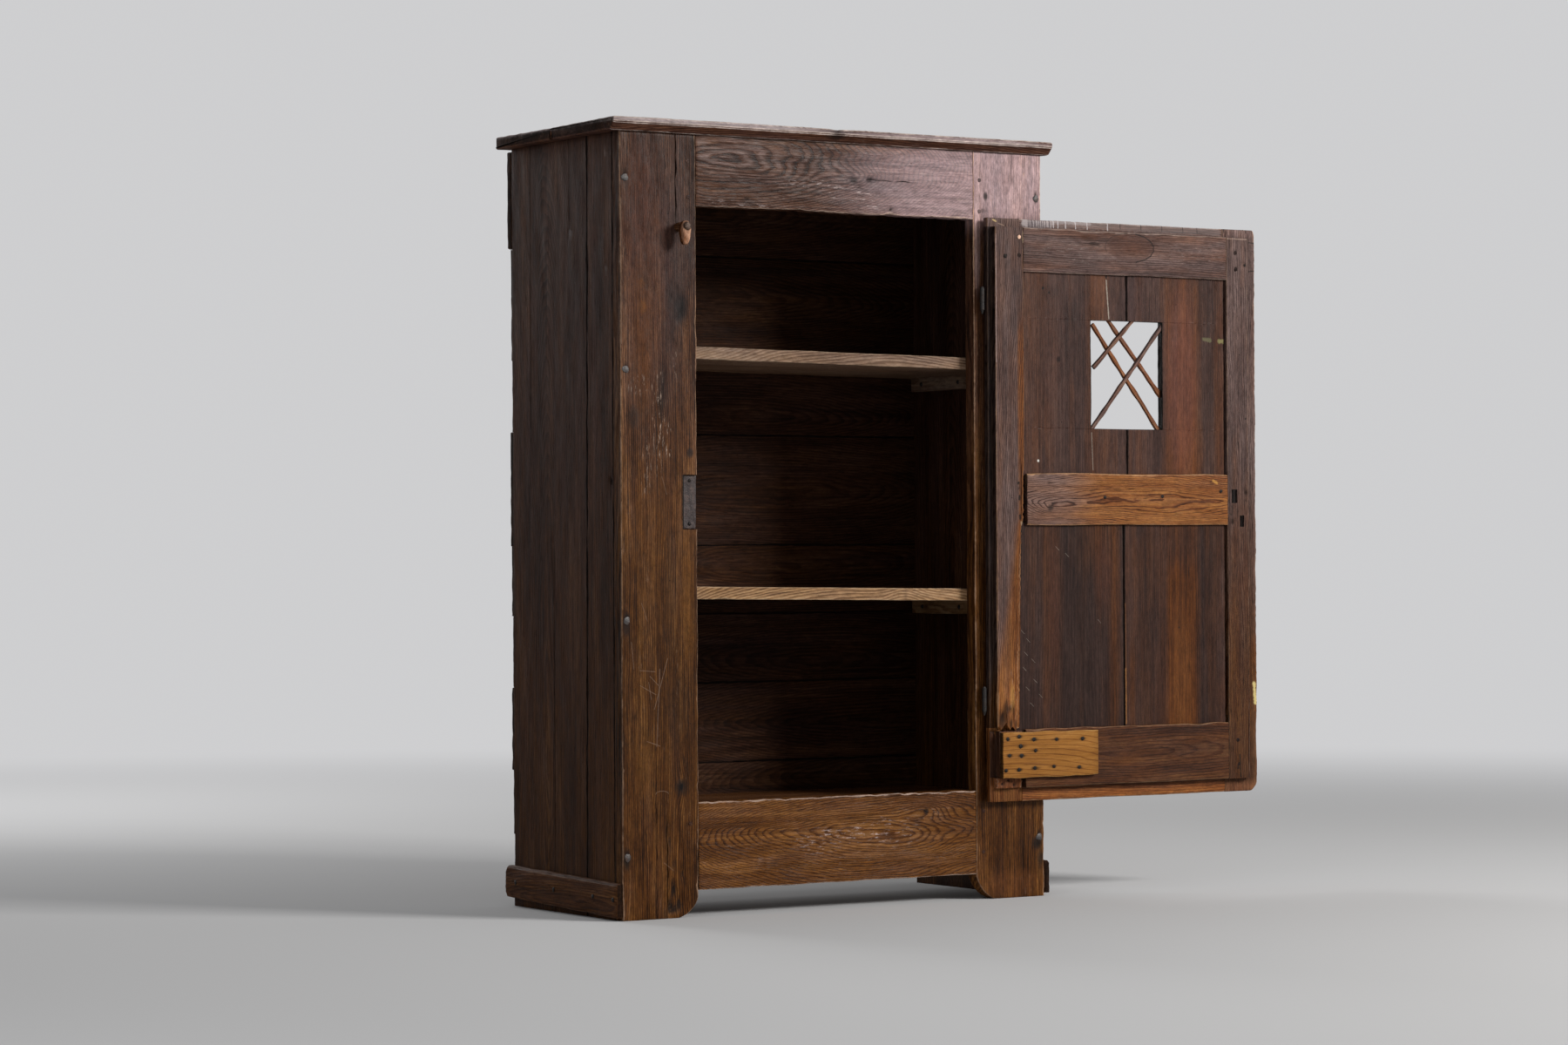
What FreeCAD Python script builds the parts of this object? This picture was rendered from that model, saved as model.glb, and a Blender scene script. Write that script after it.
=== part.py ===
"""Plank-built oak food cupboard with one framed door, shown folded fully open.

All sizes are millimetres. The cupboard is drawn with X = 0 at its left side, Y = 0 at the
front face of its stiles and Z = 0 on the floor, and every piece is moved by the same amount
when it is saved, so that the origin lies on the floor at the middle of the whole outline.
"""
import FreeCAD, Part
import os

# Carcass
WIDTH = 1037.0
STILE_THICK = 30.0
SIDE_THICK = 24.0
BACK_Y = 445.0
PLANK_THICK = 20.0
CARCASS_TOP = 1575.0
OPENING_LEFT = 177.2
OPENING_RIGHT = 861.5
OPENING_BOTTOM = 230.6
OPENING_TOP = 1431.4
BOTTOM_RAIL_UNDERSIDE = 54.0
SIDE_JOINT_Y_BOTTOM = 141.0
SIDE_JOINT_Y_TOP = 129.0
BOARD_GAP = 0.6
LEFT_FOOT_ARC = ((175.0, 40.0), (158.0, 13.0), (121.0, 0.0))
RIGHT_FOOT_ARC = ((861.5, 52.0), (879.0, 19.0), (908.0, 0.0))

# Top
TOP_THICK = 27.0
TOP_LEFT_OVERHANG = 26.0
TOP_RIGHT_OVERHANG = 18.0
TOP_FRONT_OVERHANG = 22.0
TOP_BACK_Y = 466.0
TOP_JOINT_Y = 232.0
NOSING_HEIGHT = 12.0
NOSING_BEVEL = 15.0
TOP_EDGE_EASING = 3.0
TOP_END_UNDERCUT = (7.0, 8.0)
TOP_END_EASING = (4.0, 5.0)

# Back planks, from the top down: the heights of their joints and how far each stops short
PLANK_LEVELS = (1568.0, 1367.0, 1134.0, 985.0, 748.0, 601.0, 453.0, 282.0, 147.0)
PLANK_SHORT_LEFT = (0.0, 8.0, 10.0, 5.0, 7.0, 9.0, 6.0, 9.0)
PLANK_SHORT_RIGHT = (3.0, 6.0, 2.0, 8.0, 4.0, 7.0, 3.0, 6.0)

# Floor, shelves and the cleats that carry them
FLOOR_TOP = 216.0
BOARD_THICK = 25.0
UPPER_SHELF = (1151.8, 1140.2)
LOWER_SHELF = (666.2, 651.8)
SHELF_FRONT_Y = 31.0
CLEAT_WIDTH = 25.0
CLEAT_HEIGHT = 30.0
CLEAT_Y = (60.0, 420.0)

# Plinths on the two sides
PLINTH_THICK = 14.0
PLINTH_BACK_Y = 460.0
PLINTH_FRONT = (6.0, 75.0)
PLINTH_BACK = (20.0, 85.0)
PLINTH_CHAMFER = 5.0
PLINTH_CUT_CORNER = 9.0

# Joints of the front frame
TENON_LENGTH = 60.0
TENON_Y = (10.0, 20.0)
TOP_TENON_Z = (1438.0, 1548.0)
BOTTOM_TENON_Z = (70.0, 215.0)
PEG_RADIUS = 4.5
PEG_PROUD = 0.5
FRAME_PEGS = ((158.0, 1521.0), (160.0, 1449.0), (878.0, 1515.0), (877.0, 1449.0),
              (158.0, 188.0), (159.0, 98.0), (880.0, 186.0), (879.0, 100.0))

# Door, hung on the right and folded back in front of the right stile
HINGE_X = 875.0
HINGE_Y = -12.0
DOOR_FACE_Y = -10.0
LIP = (881.0, 1602.0, 205.0, 1435.0)
RAISED = (891.5, 1569.8, 234.0, 1416.0)
LIP_THICK = 12.0
DOOR_THICK = 27.0
DOOR_STILE_EDGES = (964.0, 1511.0)
DOOR_TOP_RAIL_Z = 1323.0
DOOR_MID_RAIL_Z = (788.0, 897.0)
DOOR_BOTTOM_RAIL_Z = 357.0
MID_RAIL_PROUD = 1.5
GROOVE_DEPTH = 10.0
GROOVE = (8.0, 16.0)
PANEL = (5.0, 20.0)
TONGUE_LENGTH = 9.0
UPPER_PANEL_JOINT_X = 1242.0
LOWER_PANEL_JOINT_X = 1231.0
PANEL_GAP_LEFT = 1.0
PANEL_GAP_RIGHT = 4.0
PANEL_GAP_END = 1.0
DOOR_TENON_LENGTH = 50.0
STUB_TENON_LENGTH = 9.5
DOOR_PEGS = ((953.7, 1395.8), (953.5, 1357.0), (1536.0, 1383.0), (1538.0, 1347.0),
             (1536.0, 318.0), (1537.0, 266.0))
DOOR_TOP_TENON_Z = (1335.0, 1405.0)
DOOR_MID_TENON_Z = (800.0, 885.0)
DOOR_BOTTOM_TENON_Z = (245.0, 335.0)
TORN_EDGE = ((964.0, 905.0), (956.0, 788.0), (947.0, 560.0), (942.0, 361.0))
BROKEN_END_Z = 361.0
ROTTEN_STUB = (893.0, 955.0, 234.0, 256.0)
ROTTEN_STUB_THICK = 22.0
LOCK_SLOTS = ((1523.0, 1536.5, 836.0, 865.0), (1546.0, 1555.5, 784.0, 808.0))

# Window with its crossed slats: each slat is given by two points on its middle line
WINDOW = (1146.5, 1337.5, 993.5, 1225.5)
SLAT_WIDTH = 8.0
SLAT_THICK = 6.0
SLAT_MEETING = 12.5
SLAT_HOUSING = 6.0
SLAT_OVERRUN = 100.0
INNER_SLATS = (((1159.0, 1128.4), (1257.9, 1224.2)), ((1153.4, 996.1), (1340.7, 1218.8)))
OUTER_SLATS = (((1160.2, 1212.6), (1332.7, 994.7)), ((1200.0, 1226.7), (1342.7, 1064.6)))

# Repairs at the door's lower hinge corner
PATCH = (896.0, 1146.0, 255.5, 352.5)
PATCH_THICK = 12.0
BLOCK = (881.0, 954.0, 257.0, 354.0)
BLOCK_STEP_X = 896.5
BLOCK_LIP_THICK = 1.6

# Iron hinges: barrel heights, leaves and pins
UPPER_BARREL = (1241.0, 1287.0)
LOWER_BARREL = (396.0, 445.0)
BARREL_RADIUS = 5.0
PIN_RADIUS = 2.5
RUNNING_CLEARANCE = 0.05
KNUCKLE_GAP = 0.4
LEAF_THICK = 2.5
LEAF_START_X = 884.0
LEAF_END_X = 926.0
KNEE_ON_BARREL = ((1.4, 4.7), (3.6, 2.4))
KNEE_OVERLAP = 2.0
FINIAL_RADIUS = 4.0
FINIAL_LENGTH = 9.0
PIN_HEAD_HEIGHT = 3.0
HINGE_NAILS_X = (897.0, 915.0)
HINGE_NAIL_INSET = 9.0
HINGE_NAIL_LENGTH = 20.0

# Keeper plate let into the left stile
KEEPER = (147.0, 177.2, 781.0, 888.0)
KEEPER_DEPTH = (5.5, 8.0)
KEEPER_RECESS_GAP = 1.0

# Turn button on the left stile, its nail and spacer
BUTTON_X = 135.5
PIVOT_Z = 1387.0
BUTTON_Z = (1347.0, 1400.5)
BUTTON_WIDTH = 23.0
BUTTON_Y = (-38.0, -15.0)
BUTTON_NAIL_RADIUS = 3.0
BUTTON_END_PLAY = 0.3
BUTTON_NAIL_END_Y = 25.0
BUTTON_ROUNDING = 5.0
BUTTON_TAPER = 0.9
SPACER_RADIUS = 9.0

# Nails
NAIL_RADIUS = 2.0
HEAD_RADIUS = 5.0
HEAD_HEIGHT = 2.0
HEAD_TAPER = 0.6
SMALL_HEAD_RADIUS = 3.5
DOOR_HEAD_RADIUS = 4.5
FRONT_NAILS_LEFT_X = 11.6
FRONT_NAILS_RIGHT_X = 1024.0
FRONT_NAILS_Z = (1482.0, 1099.0, 598.0, 126.0)
PATCH_NAILS = ((908.6, 337.7), (937.9, 342.4), (976.4, 335.8), (1035.6, 334.0), (1104.5, 333.9),
               (942.3, 322.1), (980.7, 311.8), (912.8, 302.9), (944.0, 302.0), (904.0, 272.1),
               (937.4, 272.8), (978.2, 275.1), (1028.3, 277.2), (1094.8, 273.2))
DOOR_FACE_NAILS = ((917.3, 1354.0), (1562.0, 1356.0))
MID_RAIL_NAILS = ((1175.0, 847.0), (1330.0, 849.0), (1491.0, 861.0))
PATCH_NAIL_LENGTH = 30.0
DOOR_NAIL_LENGTH = 22.0
KEEPER_NAIL_LENGTH = 20.0
KEEPER_NAIL_INSET = 10.0
FRONT_NAIL_LENGTH = 65.0
BACK_NAIL_LENGTH = 52.0
BACK_NAIL_SHARES = (0.25, 0.75)
BACK_NAIL_INSET = 17.0
TOP_NAIL_LENGTH = 60.0
TOP_NAILS_SIDE_Y = (70.0, 190.0, 300.0, 405.0)
TOP_NAILS_FRONT_X = (60.0, 250.0, 520.0, 790.0, 980.0)
PLINTH_NAIL_LENGTH = 34.0
PLINTH_NAILS_Y = (15.0, 95.0, 255.0, 415.0)
PLINTH_NAIL_Z = 42.0
CLEAT_NAIL_LENGTH = 40.0
CLEAT_NAILS_Y = (100.0, 240.0, 380.0)
INSIDE_BOARDS = ("floor_board", "upper_shelf", "lower_shelf")

# Middle of the whole outline, where the origin goes
OUTLINE_LEFT = -TOP_LEFT_OVERHANG
OUTLINE_RIGHT = LIP[1]
OUTLINE_FRONT = DOOR_FACE_Y - DOOR_THICK - PATCH_THICK - HEAD_HEIGHT
OUTLINE_BACK = BACK_Y + PLANK_THICK + HEAD_HEIGHT
ORIGIN_X = (OUTLINE_LEFT + OUTLINE_RIGHT) / 2
ORIGIN_Y = (OUTLINE_FRONT + OUTLINE_BACK) / 2

X_AXIS = FreeCAD.Vector(1, 0, 0)
Y_AXIS = FreeCAD.Vector(0, 1, 0)
Z_AXIS = FreeCAD.Vector(0, 0, 1)

pieces = {}


def box(x0, x1, y0, y1, z0, z1):
    """A box between two corners."""
    return Part.makeBox(x1 - x0, y1 - y0, z1 - z0, FreeCAD.Vector(x0, y0, z0))


def door_box(x0, x1, depth0, depth1, z0, z1):
    """A box in the open door, with depths counted from the door's outer face."""
    return box(x0, x1, DOOR_FACE_Y - depth1, DOOR_FACE_Y - depth0, z0, z1)


def prism(points, direction, length):
    """A straight prism over a closed polygon."""
    face = Part.Face(Part.makePolygon([*points, points[0]]))
    return face.extrude(direction * length)


def prism_along_y(outline, y0, y1):
    """A prism between two depths over an outline of (x, z) points."""
    return prism([FreeCAD.Vector(x, y0, z) for x, z in outline], Y_AXIS, y1 - y0)


def prism_along_x(outline, x0, x1):
    """A prism between two widths over an outline of (y, z) points."""
    return prism([FreeCAD.Vector(x0, y, z) for y, z in outline], X_AXIS, x1 - x0)


def rod(start, end, radius):
    """A round rod between two points."""
    axis = FreeCAD.Vector(*end) - FreeCAD.Vector(*start)
    return Part.makeCylinder(radius, axis.Length, FreeCAD.Vector(*start), axis)


def joined(shapes):
    """Several touching shapes as one clean solid."""
    first, *rest = shapes
    return first.fuse(rest).removeSplitter() if rest else first


def group(shapes):
    """Separate solids kept together in one piece."""
    return Part.makeCompound([solid for shape in shapes for solid in shape.Solids])


def nail(x, y, z, into, length, head_radius=HEAD_RADIUS, sunk=0.0):
    """A forged nail with a low head, standing on the surface at a point or sunk into it."""
    surface = FreeCAD.Vector(x, y, z) + into * sunk
    shank = Part.makeCylinder(NAIL_RADIUS, length, surface, into)
    head = Part.makeCone(head_radius, head_radius * HEAD_TAPER, HEAD_HEIGHT, surface, into * -1)
    return joined([shank, head])


def foot_outline(arc, straight):
    """The face of a stile whose foot is rounded at its inner corner."""
    a, b, c = (FreeCAD.Vector(x, 0, z) for x, z in arc)
    corner = [FreeCAD.Vector(x, 0, z) for x, z in straight]
    edges = [Part.Arc(a, b, c).toShape()]
    path = [c, *corner, a]
    edges += [Part.makeLine(p, q) for p, q in zip(path, path[1:])]
    return Part.Face(Part.Wire(edges)).extrude(Y_AXIS * STILE_THICK)


def make_stiles():
    """The two wide front stiles, which run to the floor as feet."""
    left = foot_outline(LEFT_FOOT_ARC, ((0, 0), (0, CARCASS_TOP), (OPENING_LEFT, CARCASS_TOP),
                                        (OPENING_LEFT, LEFT_FOOT_ARC[0][1])))
    right = foot_outline(RIGHT_FOOT_ARC, ((WIDTH, 0), (WIDTH, CARCASS_TOP),
                                          (OPENING_RIGHT, CARCASS_TOP)))
    x0, x1, z0, z1 = KEEPER
    recess = box(x0 - KEEPER_RECESS_GAP, x1 + 1, -1, KEEPER_DEPTH[1],
                 z0 - KEEPER_RECESS_GAP, z1 + KEEPER_RECESS_GAP)
    pieces["left_stile"] = left.cut(recess)
    pieces["right_stile"] = right


def make_front_rails():
    """The top and bottom rails, tenoned into the stiles."""
    for name, z0, z1, tenon_z in (("top_rail", OPENING_TOP, CARCASS_TOP, TOP_TENON_Z),
                                  ("bottom_rail", BOTTOM_RAIL_UNDERSIDE, OPENING_BOTTOM,
                                   BOTTOM_TENON_Z)):
        body = box(OPENING_LEFT, OPENING_RIGHT, 0, STILE_THICK, z0, z1)
        tenons = box(OPENING_LEFT - TENON_LENGTH, OPENING_RIGHT + TENON_LENGTH, *TENON_Y, *tenon_z)
        pieces[name] = joined([body, tenons])
    for stile in ("left_stile", "right_stile"):
        pieces[stile] = pieces[stile].cut([pieces["top_rail"], pieces["bottom_rail"]])


def make_sides():
    """Two upright boards on each side, edge to edge, the front one slightly tapered."""
    front = ((STILE_THICK, 0), (SIDE_JOINT_Y_BOTTOM, 0), (SIDE_JOINT_Y_TOP, CARCASS_TOP),
             (STILE_THICK, CARCASS_TOP))
    rear = ((SIDE_JOINT_Y_BOTTOM + BOARD_GAP, 0), (BACK_Y, 0), (BACK_Y, CARCASS_TOP),
            (SIDE_JOINT_Y_TOP + BOARD_GAP, CARCASS_TOP))
    for side, x0 in (("left", 0.0), ("right", WIDTH - SIDE_THICK)):
        pieces[f"{side}_side_front_board"] = prism_along_x(front, x0, x0 + SIDE_THICK)
        pieces[f"{side}_side_rear_board"] = prism_along_x(rear, x0, x0 + SIDE_THICK)


def nosing_outline():
    """The front board of the top in section: an upper nosing over a bevel that runs inwards."""
    low = CARCASS_TOP
    high = CARCASS_TOP + TOP_THICK
    front = -TOP_FRONT_OVERHANG
    ease = TOP_EDGE_EASING
    return ((front + NOSING_BEVEL, low), (front + ease, high - NOSING_HEIGHT),
            (front, high - NOSING_HEIGHT + ease), (front, high - ease), (front + ease, high),
            (TOP_JOINT_Y, high), (TOP_JOINT_Y, low))


def make_top():
    """Two boards with rounded left and right ends."""
    x0 = -TOP_LEFT_OVERHANG
    x1 = WIDTH + TOP_RIGHT_OVERHANG
    high = CARCASS_TOP + TOP_THICK
    front = prism_along_x(nosing_outline(), x0, x1)
    rear = box(x0, x1, TOP_JOINT_Y + BOARD_GAP, TOP_BACK_Y, CARCASS_TOP, high)
    under_x, under_z = TOP_END_UNDERCUT
    over_x, over_z = TOP_END_EASING
    depth = (-2 * TOP_FRONT_OVERHANG, 2 * TOP_BACK_Y)
    ends = []
    for x, inward in ((x0, 1), (x1, -1)):
        ends.append(prism_along_y(((x, CARCASS_TOP), (x + inward * under_x, CARCASS_TOP),
                                   (x, CARCASS_TOP + under_z)), *depth))
        ends.append(prism_along_y(((x, high), (x + inward * over_x, high), (x, high - over_z)), *depth))
    pieces["top_board_front"] = front.cut(ends)
    pieces["top_board_rear"] = rear.cut(ends)


def make_back():
    """Horizontal planks nailed across the back, with uneven ends."""
    for number, (top, bottom) in enumerate(zip(PLANK_LEVELS, PLANK_LEVELS[1:])):
        pieces[f"back_plank_{number + 1}"] = box(
            PLANK_SHORT_LEFT[number], WIDTH - PLANK_SHORT_RIGHT[number],
            BACK_Y, BACK_Y + PLANK_THICK, bottom + BOARD_GAP, top)


def make_inside_board(name, height_left, height_right, front_y):
    """A floor or shelf board between the sides with its two cleats, sloping as the real one does."""
    x0, x1 = SIDE_THICK, WIDTH - SIDE_THICK
    slope = (height_right - height_left) / (x1 - x0)
    under = height_left - BOARD_THICK
    pieces[name] = prism_along_y(((x0, under), (x1, height_right - BOARD_THICK),
                                  (x1, height_right), (x0, height_left)), front_y, BACK_Y)
    cleats = []
    for a, b in ((x0, x0 + CLEAT_WIDTH), (x1 - CLEAT_WIDTH, x1)):
        top_a = under + slope * (a - x0)
        top_b = under + slope * (b - x0)
        cleats.append(prism_along_y(((a, top_a - CLEAT_HEIGHT), (b, top_a - CLEAT_HEIGHT),
                                     (b, top_b), (a, top_a)), *CLEAT_Y))
    pieces[name + "_cleats"] = group(cleats)


def make_plinths():
    """A low chamfered board along each side, rising a little to the back."""
    front_low, front_high = PLINTH_FRONT
    back_low, back_high = PLINTH_BACK
    cut = PLINTH_CUT_CORNER
    outline = ((0, front_low), (PLINTH_BACK_Y - cut, back_low), (PLINTH_BACK_Y, back_low + cut),
               (PLINTH_BACK_Y, back_high - cut), (PLINTH_BACK_Y - cut, back_high), (0, front_high))
    rise = (back_high - front_high) / PLINTH_BACK_Y
    for side, x0, outer, inward in (("left", -PLINTH_THICK, -PLINTH_THICK, 1),
                                    ("right", WIDTH, WIDTH + PLINTH_THICK, -1)):
        wedge_face = [FreeCAD.Vector(outer + inward * a, -1, front_high + b - rise)
                      for a, b in ((-1, 1), (PLINTH_CHAMFER, 1), (PLINTH_CHAMFER, 0),
                                   (0, -PLINTH_CHAMFER), (-1, -PLINTH_CHAMFER))]
        run = FreeCAD.Vector(0, PLINTH_BACK_Y + 2, rise * (PLINTH_BACK_Y + 2))
        wedge = prism(wedge_face, run, 1.0)
        board = prism_along_x(outline, x0, x0 + PLINTH_THICK)
        pieces[f"{side}_plinth"] = board.cut(wedge)


def make_frame_pegs():
    """Oak pegs through the joints of the front frame."""
    pegs = group([rod((x, -PEG_PROUD, z), (x, STILE_THICK, z), PEG_RADIUS) for x, z in FRAME_PEGS])
    pieces["joint_pegs"] = pegs


def make_keeper():
    """A thin iron plate in its recess, where the missing lock's bolt bore."""
    x0, x1, z0, z1 = KEEPER
    pieces["lock_keeper"] = box(x0, x1, *KEEPER_DEPTH, z0, z1)
    middle = (x0 + x1) / 2
    ends = (z0 + KEEPER_NAIL_INSET, z1 - KEEPER_NAIL_INSET)
    pieces["keeper_nails"] = group([nail(middle, KEEPER_DEPTH[0], z, Y_AXIS, KEEPER_NAIL_LENGTH,
                                         SMALL_HEAD_RADIUS) for z in ends])


def panel_board(x0, x1, z0, z1, tongue_left, tongue_right):
    """One board of a door panel, with tongues on the edges that sit in the frame's grooves."""
    gap_left = PANEL_GAP_LEFT if tongue_left else 0
    gap_right = PANEL_GAP_RIGHT if tongue_right else 0
    body = door_box(x0 + gap_left, x1 - gap_right, *PANEL, z0 + PANEL_GAP_END, z1 - PANEL_GAP_END)
    tongue = door_box(x0 - tongue_left, x1 + tongue_right, *GROOVE,
                      z0 - TONGUE_LENGTH, z1 + TONGUE_LENGTH)
    return joined([body, tongue])


def make_panels():
    """Two boards in the upper panel, cut for the window, and two in the lower one."""
    left, right = DOOR_STILE_EDGES
    half_gap = BOARD_GAP / 2
    for level, joint, z0, z1 in (("upper", UPPER_PANEL_JOINT_X, DOOR_MID_RAIL_Z[1], DOOR_TOP_RAIL_Z),
                                 ("lower", LOWER_PANEL_JOINT_X, DOOR_BOTTOM_RAIL_Z, DOOR_MID_RAIL_Z[0])):
        pieces[f"door_panel_{level}_left"] = panel_board(left, joint - half_gap, z0, z1, TONGUE_LENGTH, 0)
        pieces[f"door_panel_{level}_right"] = panel_board(joint + half_gap, right, z0, z1, 0, TONGUE_LENGTH)
    x0, x1, z0, z1 = WINDOW
    hole = door_box(x0, x1, -1, DOOR_THICK, z0, z1)
    for side in ("left", "right"):
        pieces[f"door_panel_upper_{side}"] = pieces[f"door_panel_upper_{side}"].cut(hole)


def slat(points, depth0, depth1):
    """A flat slat along a line, housed a little way into the window's edges."""
    start, end = (FreeCAD.Vector(x, DOOR_FACE_Y - depth1, z) for x, z in points)
    along = (end - start).normalize()
    across = along.cross(Y_AXIS) * (SLAT_WIDTH / 2)
    start -= along * SLAT_OVERRUN
    end += along * SLAT_OVERRUN
    body = prism([start + across, end + across, end - across, start - across],
                 Y_AXIS, depth1 - depth0)
    x0, x1, z0, z1 = WINDOW
    limit = door_box(x0 - SLAT_HOUSING, x1 + SLAT_HOUSING, 0, DOOR_THICK,
                     z0 - SLAT_HOUSING, z1 + SLAT_HOUSING)
    return body.common(limit)


def make_lattice():
    """Two pairs of crossed slats, one pair behind the other, housed in the upper panel."""
    inner = [slat(points, SLAT_MEETING, SLAT_MEETING + SLAT_THICK) for points in INNER_SLATS]
    outer = [slat(points, SLAT_MEETING - SLAT_THICK, SLAT_MEETING) for points in OUTER_SLATS]
    pieces["lattice_slats_inner"] = group(inner)
    pieces["lattice_slats_outer"] = group(outer)
    for side in ("left", "right"):
        name = f"door_panel_upper_{side}"
        pieces[name] = pieces[name].cut([*inner, *outer])


def make_door_rails():
    """The three cross rails of the door, grooved for the panels and tenoned into its stiles."""
    left, right = DOOR_STILE_EDGES
    lip_low, lip_high = LIP[2:]
    low, high = RAISED[2:]
    mid_low, mid_high = DOOR_MID_RAIL_Z
    reach = DOOR_TENON_LENGTH
    top = joined([door_box(left, right, 0, LIP_THICK, DOOR_TOP_RAIL_Z, lip_high),
                  door_box(left, right, 0, DOOR_THICK, DOOR_TOP_RAIL_Z, high),
                  door_box(left - reach, right + reach, *GROOVE, *DOOR_TOP_TENON_Z)])
    middle = joined([door_box(left, right, 0, DOOR_THICK + MID_RAIL_PROUD, mid_low, mid_high),
                     door_box(left - reach, right + STUB_TENON_LENGTH, *GROOVE, *DOOR_MID_TENON_Z)])
    bottom = joined([door_box(left, right, 0, LIP_THICK, lip_low, DOOR_BOTTOM_RAIL_Z),
                     door_box(left, right, 0, DOOR_THICK, low, DOOR_BOTTOM_RAIL_Z),
                     door_box(left - reach, right + reach, *GROOVE, *DOOR_BOTTOM_TENON_Z)])
    grooves = [door_box(left, right, *GROOVE, z - GROOVE_DEPTH, z) for z in (mid_high, DOOR_BOTTOM_RAIL_Z)]
    grooves += [door_box(left, right, *GROOVE, z, z + GROOVE_DEPTH) for z in (mid_low, DOOR_TOP_RAIL_Z)]
    pieces["door_top_rail"] = top.cut(grooves)
    pieces["door_mid_rail"] = middle.cut(grooves)
    pieces["door_bottom_rail"] = bottom.cut(grooves)


def make_door_stiles():
    """The hinge stile, torn along its inner edge and broken at its foot, and the lock stile."""
    left, right = DOOR_STILE_EDGES
    lip_left, lip_right, lip_low, lip_high = LIP
    raised_left, raised_right, low, high = RAISED
    groove_z = (DOOR_BOTTOM_RAIL_Z - GROOVE_DEPTH, DOOR_TOP_RAIL_Z + GROOVE_DEPTH)
    stub_x0, stub_x1, stub_z0, stub_z1 = ROTTEN_STUB
    hinge_stile = joined([door_box(lip_left, left, 0, LIP_THICK, lip_low, lip_high),
                          door_box(raised_left, left, 0, DOOR_THICK, BROKEN_END_Z, high),
                          door_box(stub_x0, stub_x1, 0, ROTTEN_STUB_THICK, stub_z0, stub_z1)])
    torn_top = TORN_EDGE[0][1]
    torn_low_x, torn_low_z = TORN_EDGE[-1]
    torn = prism_along_y((*TORN_EDGE, (torn_low_x, torn_low_z - 1), (left + 1, torn_low_z - 1),
                          (left + 1, torn_top)), DOOR_FACE_Y - DOOR_THICK - 1, DOOR_FACE_Y - GROOVE[1])
    hinge_groove = door_box(left - GROOVE_DEPTH, left + 1, *GROOVE, *groove_z)
    lock_stile = joined([door_box(right, lip_right, 0, LIP_THICK, lip_low, lip_high),
                         door_box(right, raised_right, 0, DOOR_THICK, low, high)])
    lock_groove = door_box(right - 1, right + GROOVE_DEPTH, *GROOVE, *groove_z)
    slots = [door_box(x0, x1, -1, DOOR_THICK + 1, z0, z1) for x0, x1, z0, z1 in LOCK_SLOTS]
    rails = [pieces[f"door_{level}_rail"] for level in ("top", "mid", "bottom")]
    pieces["door_hinge_stile"] = hinge_stile.cut([torn, hinge_groove, *rails])
    pieces["door_lock_stile"] = lock_stile.cut([lock_groove, *slots, *rails])


def make_door_repairs():
    """A block let in where the hinge stile has rotted, under a nailed patch board."""
    x0, x1, z0, z1 = BLOCK
    block = joined([door_box(x0, BLOCK_STEP_X, LIP_THICK, LIP_THICK + BLOCK_LIP_THICK, z0, z1),
                    door_box(BLOCK_STEP_X, x1, LIP_THICK, DOOR_THICK, z0, z1)])
    pieces["door_corner_block"] = block.cut(pieces["door_bottom_rail"])
    x0, x1, z0, z1 = PATCH
    pieces["door_patch_board"] = door_box(x0, x1, DOOR_THICK, DOOR_THICK + PATCH_THICK, z0, z1)


def make_door_pegs():
    """Oak pegs through the door's tenons."""
    front = DOOR_FACE_Y - DOOR_THICK - PEG_PROUD
    pieces["door_pegs"] = group([rod((x, front, z), (x, DOOR_FACE_Y, z), PEG_RADIUS)
                                 for x, z in DOOR_PEGS])


def knuckle(z0, z1):
    """One length of a hinge's round barrel, not yet bored."""
    return rod((HINGE_X, HINGE_Y, z0), (HINGE_X, HINGE_Y, z1), BARREL_RADIUS)


def knee(z0, z1):
    """The bent strap that carries a knuckle from the leaf on the stile."""
    (back_x, back_y), (front_x, front_y) = KNEE_ON_BARREL
    outline = ((HINGE_X + back_x, HINGE_Y + back_y), (HINGE_X + front_x, HINGE_Y + front_y),
               (LEAF_START_X + KNEE_OVERLAP, -LEAF_THICK), (LEAF_START_X + KNEE_OVERLAP, 0),
               (LEAF_START_X, 0))
    return prism([FreeCAD.Vector(x, y, z0) for x, y in outline], Z_AXIS, z1 - z0)


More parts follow.
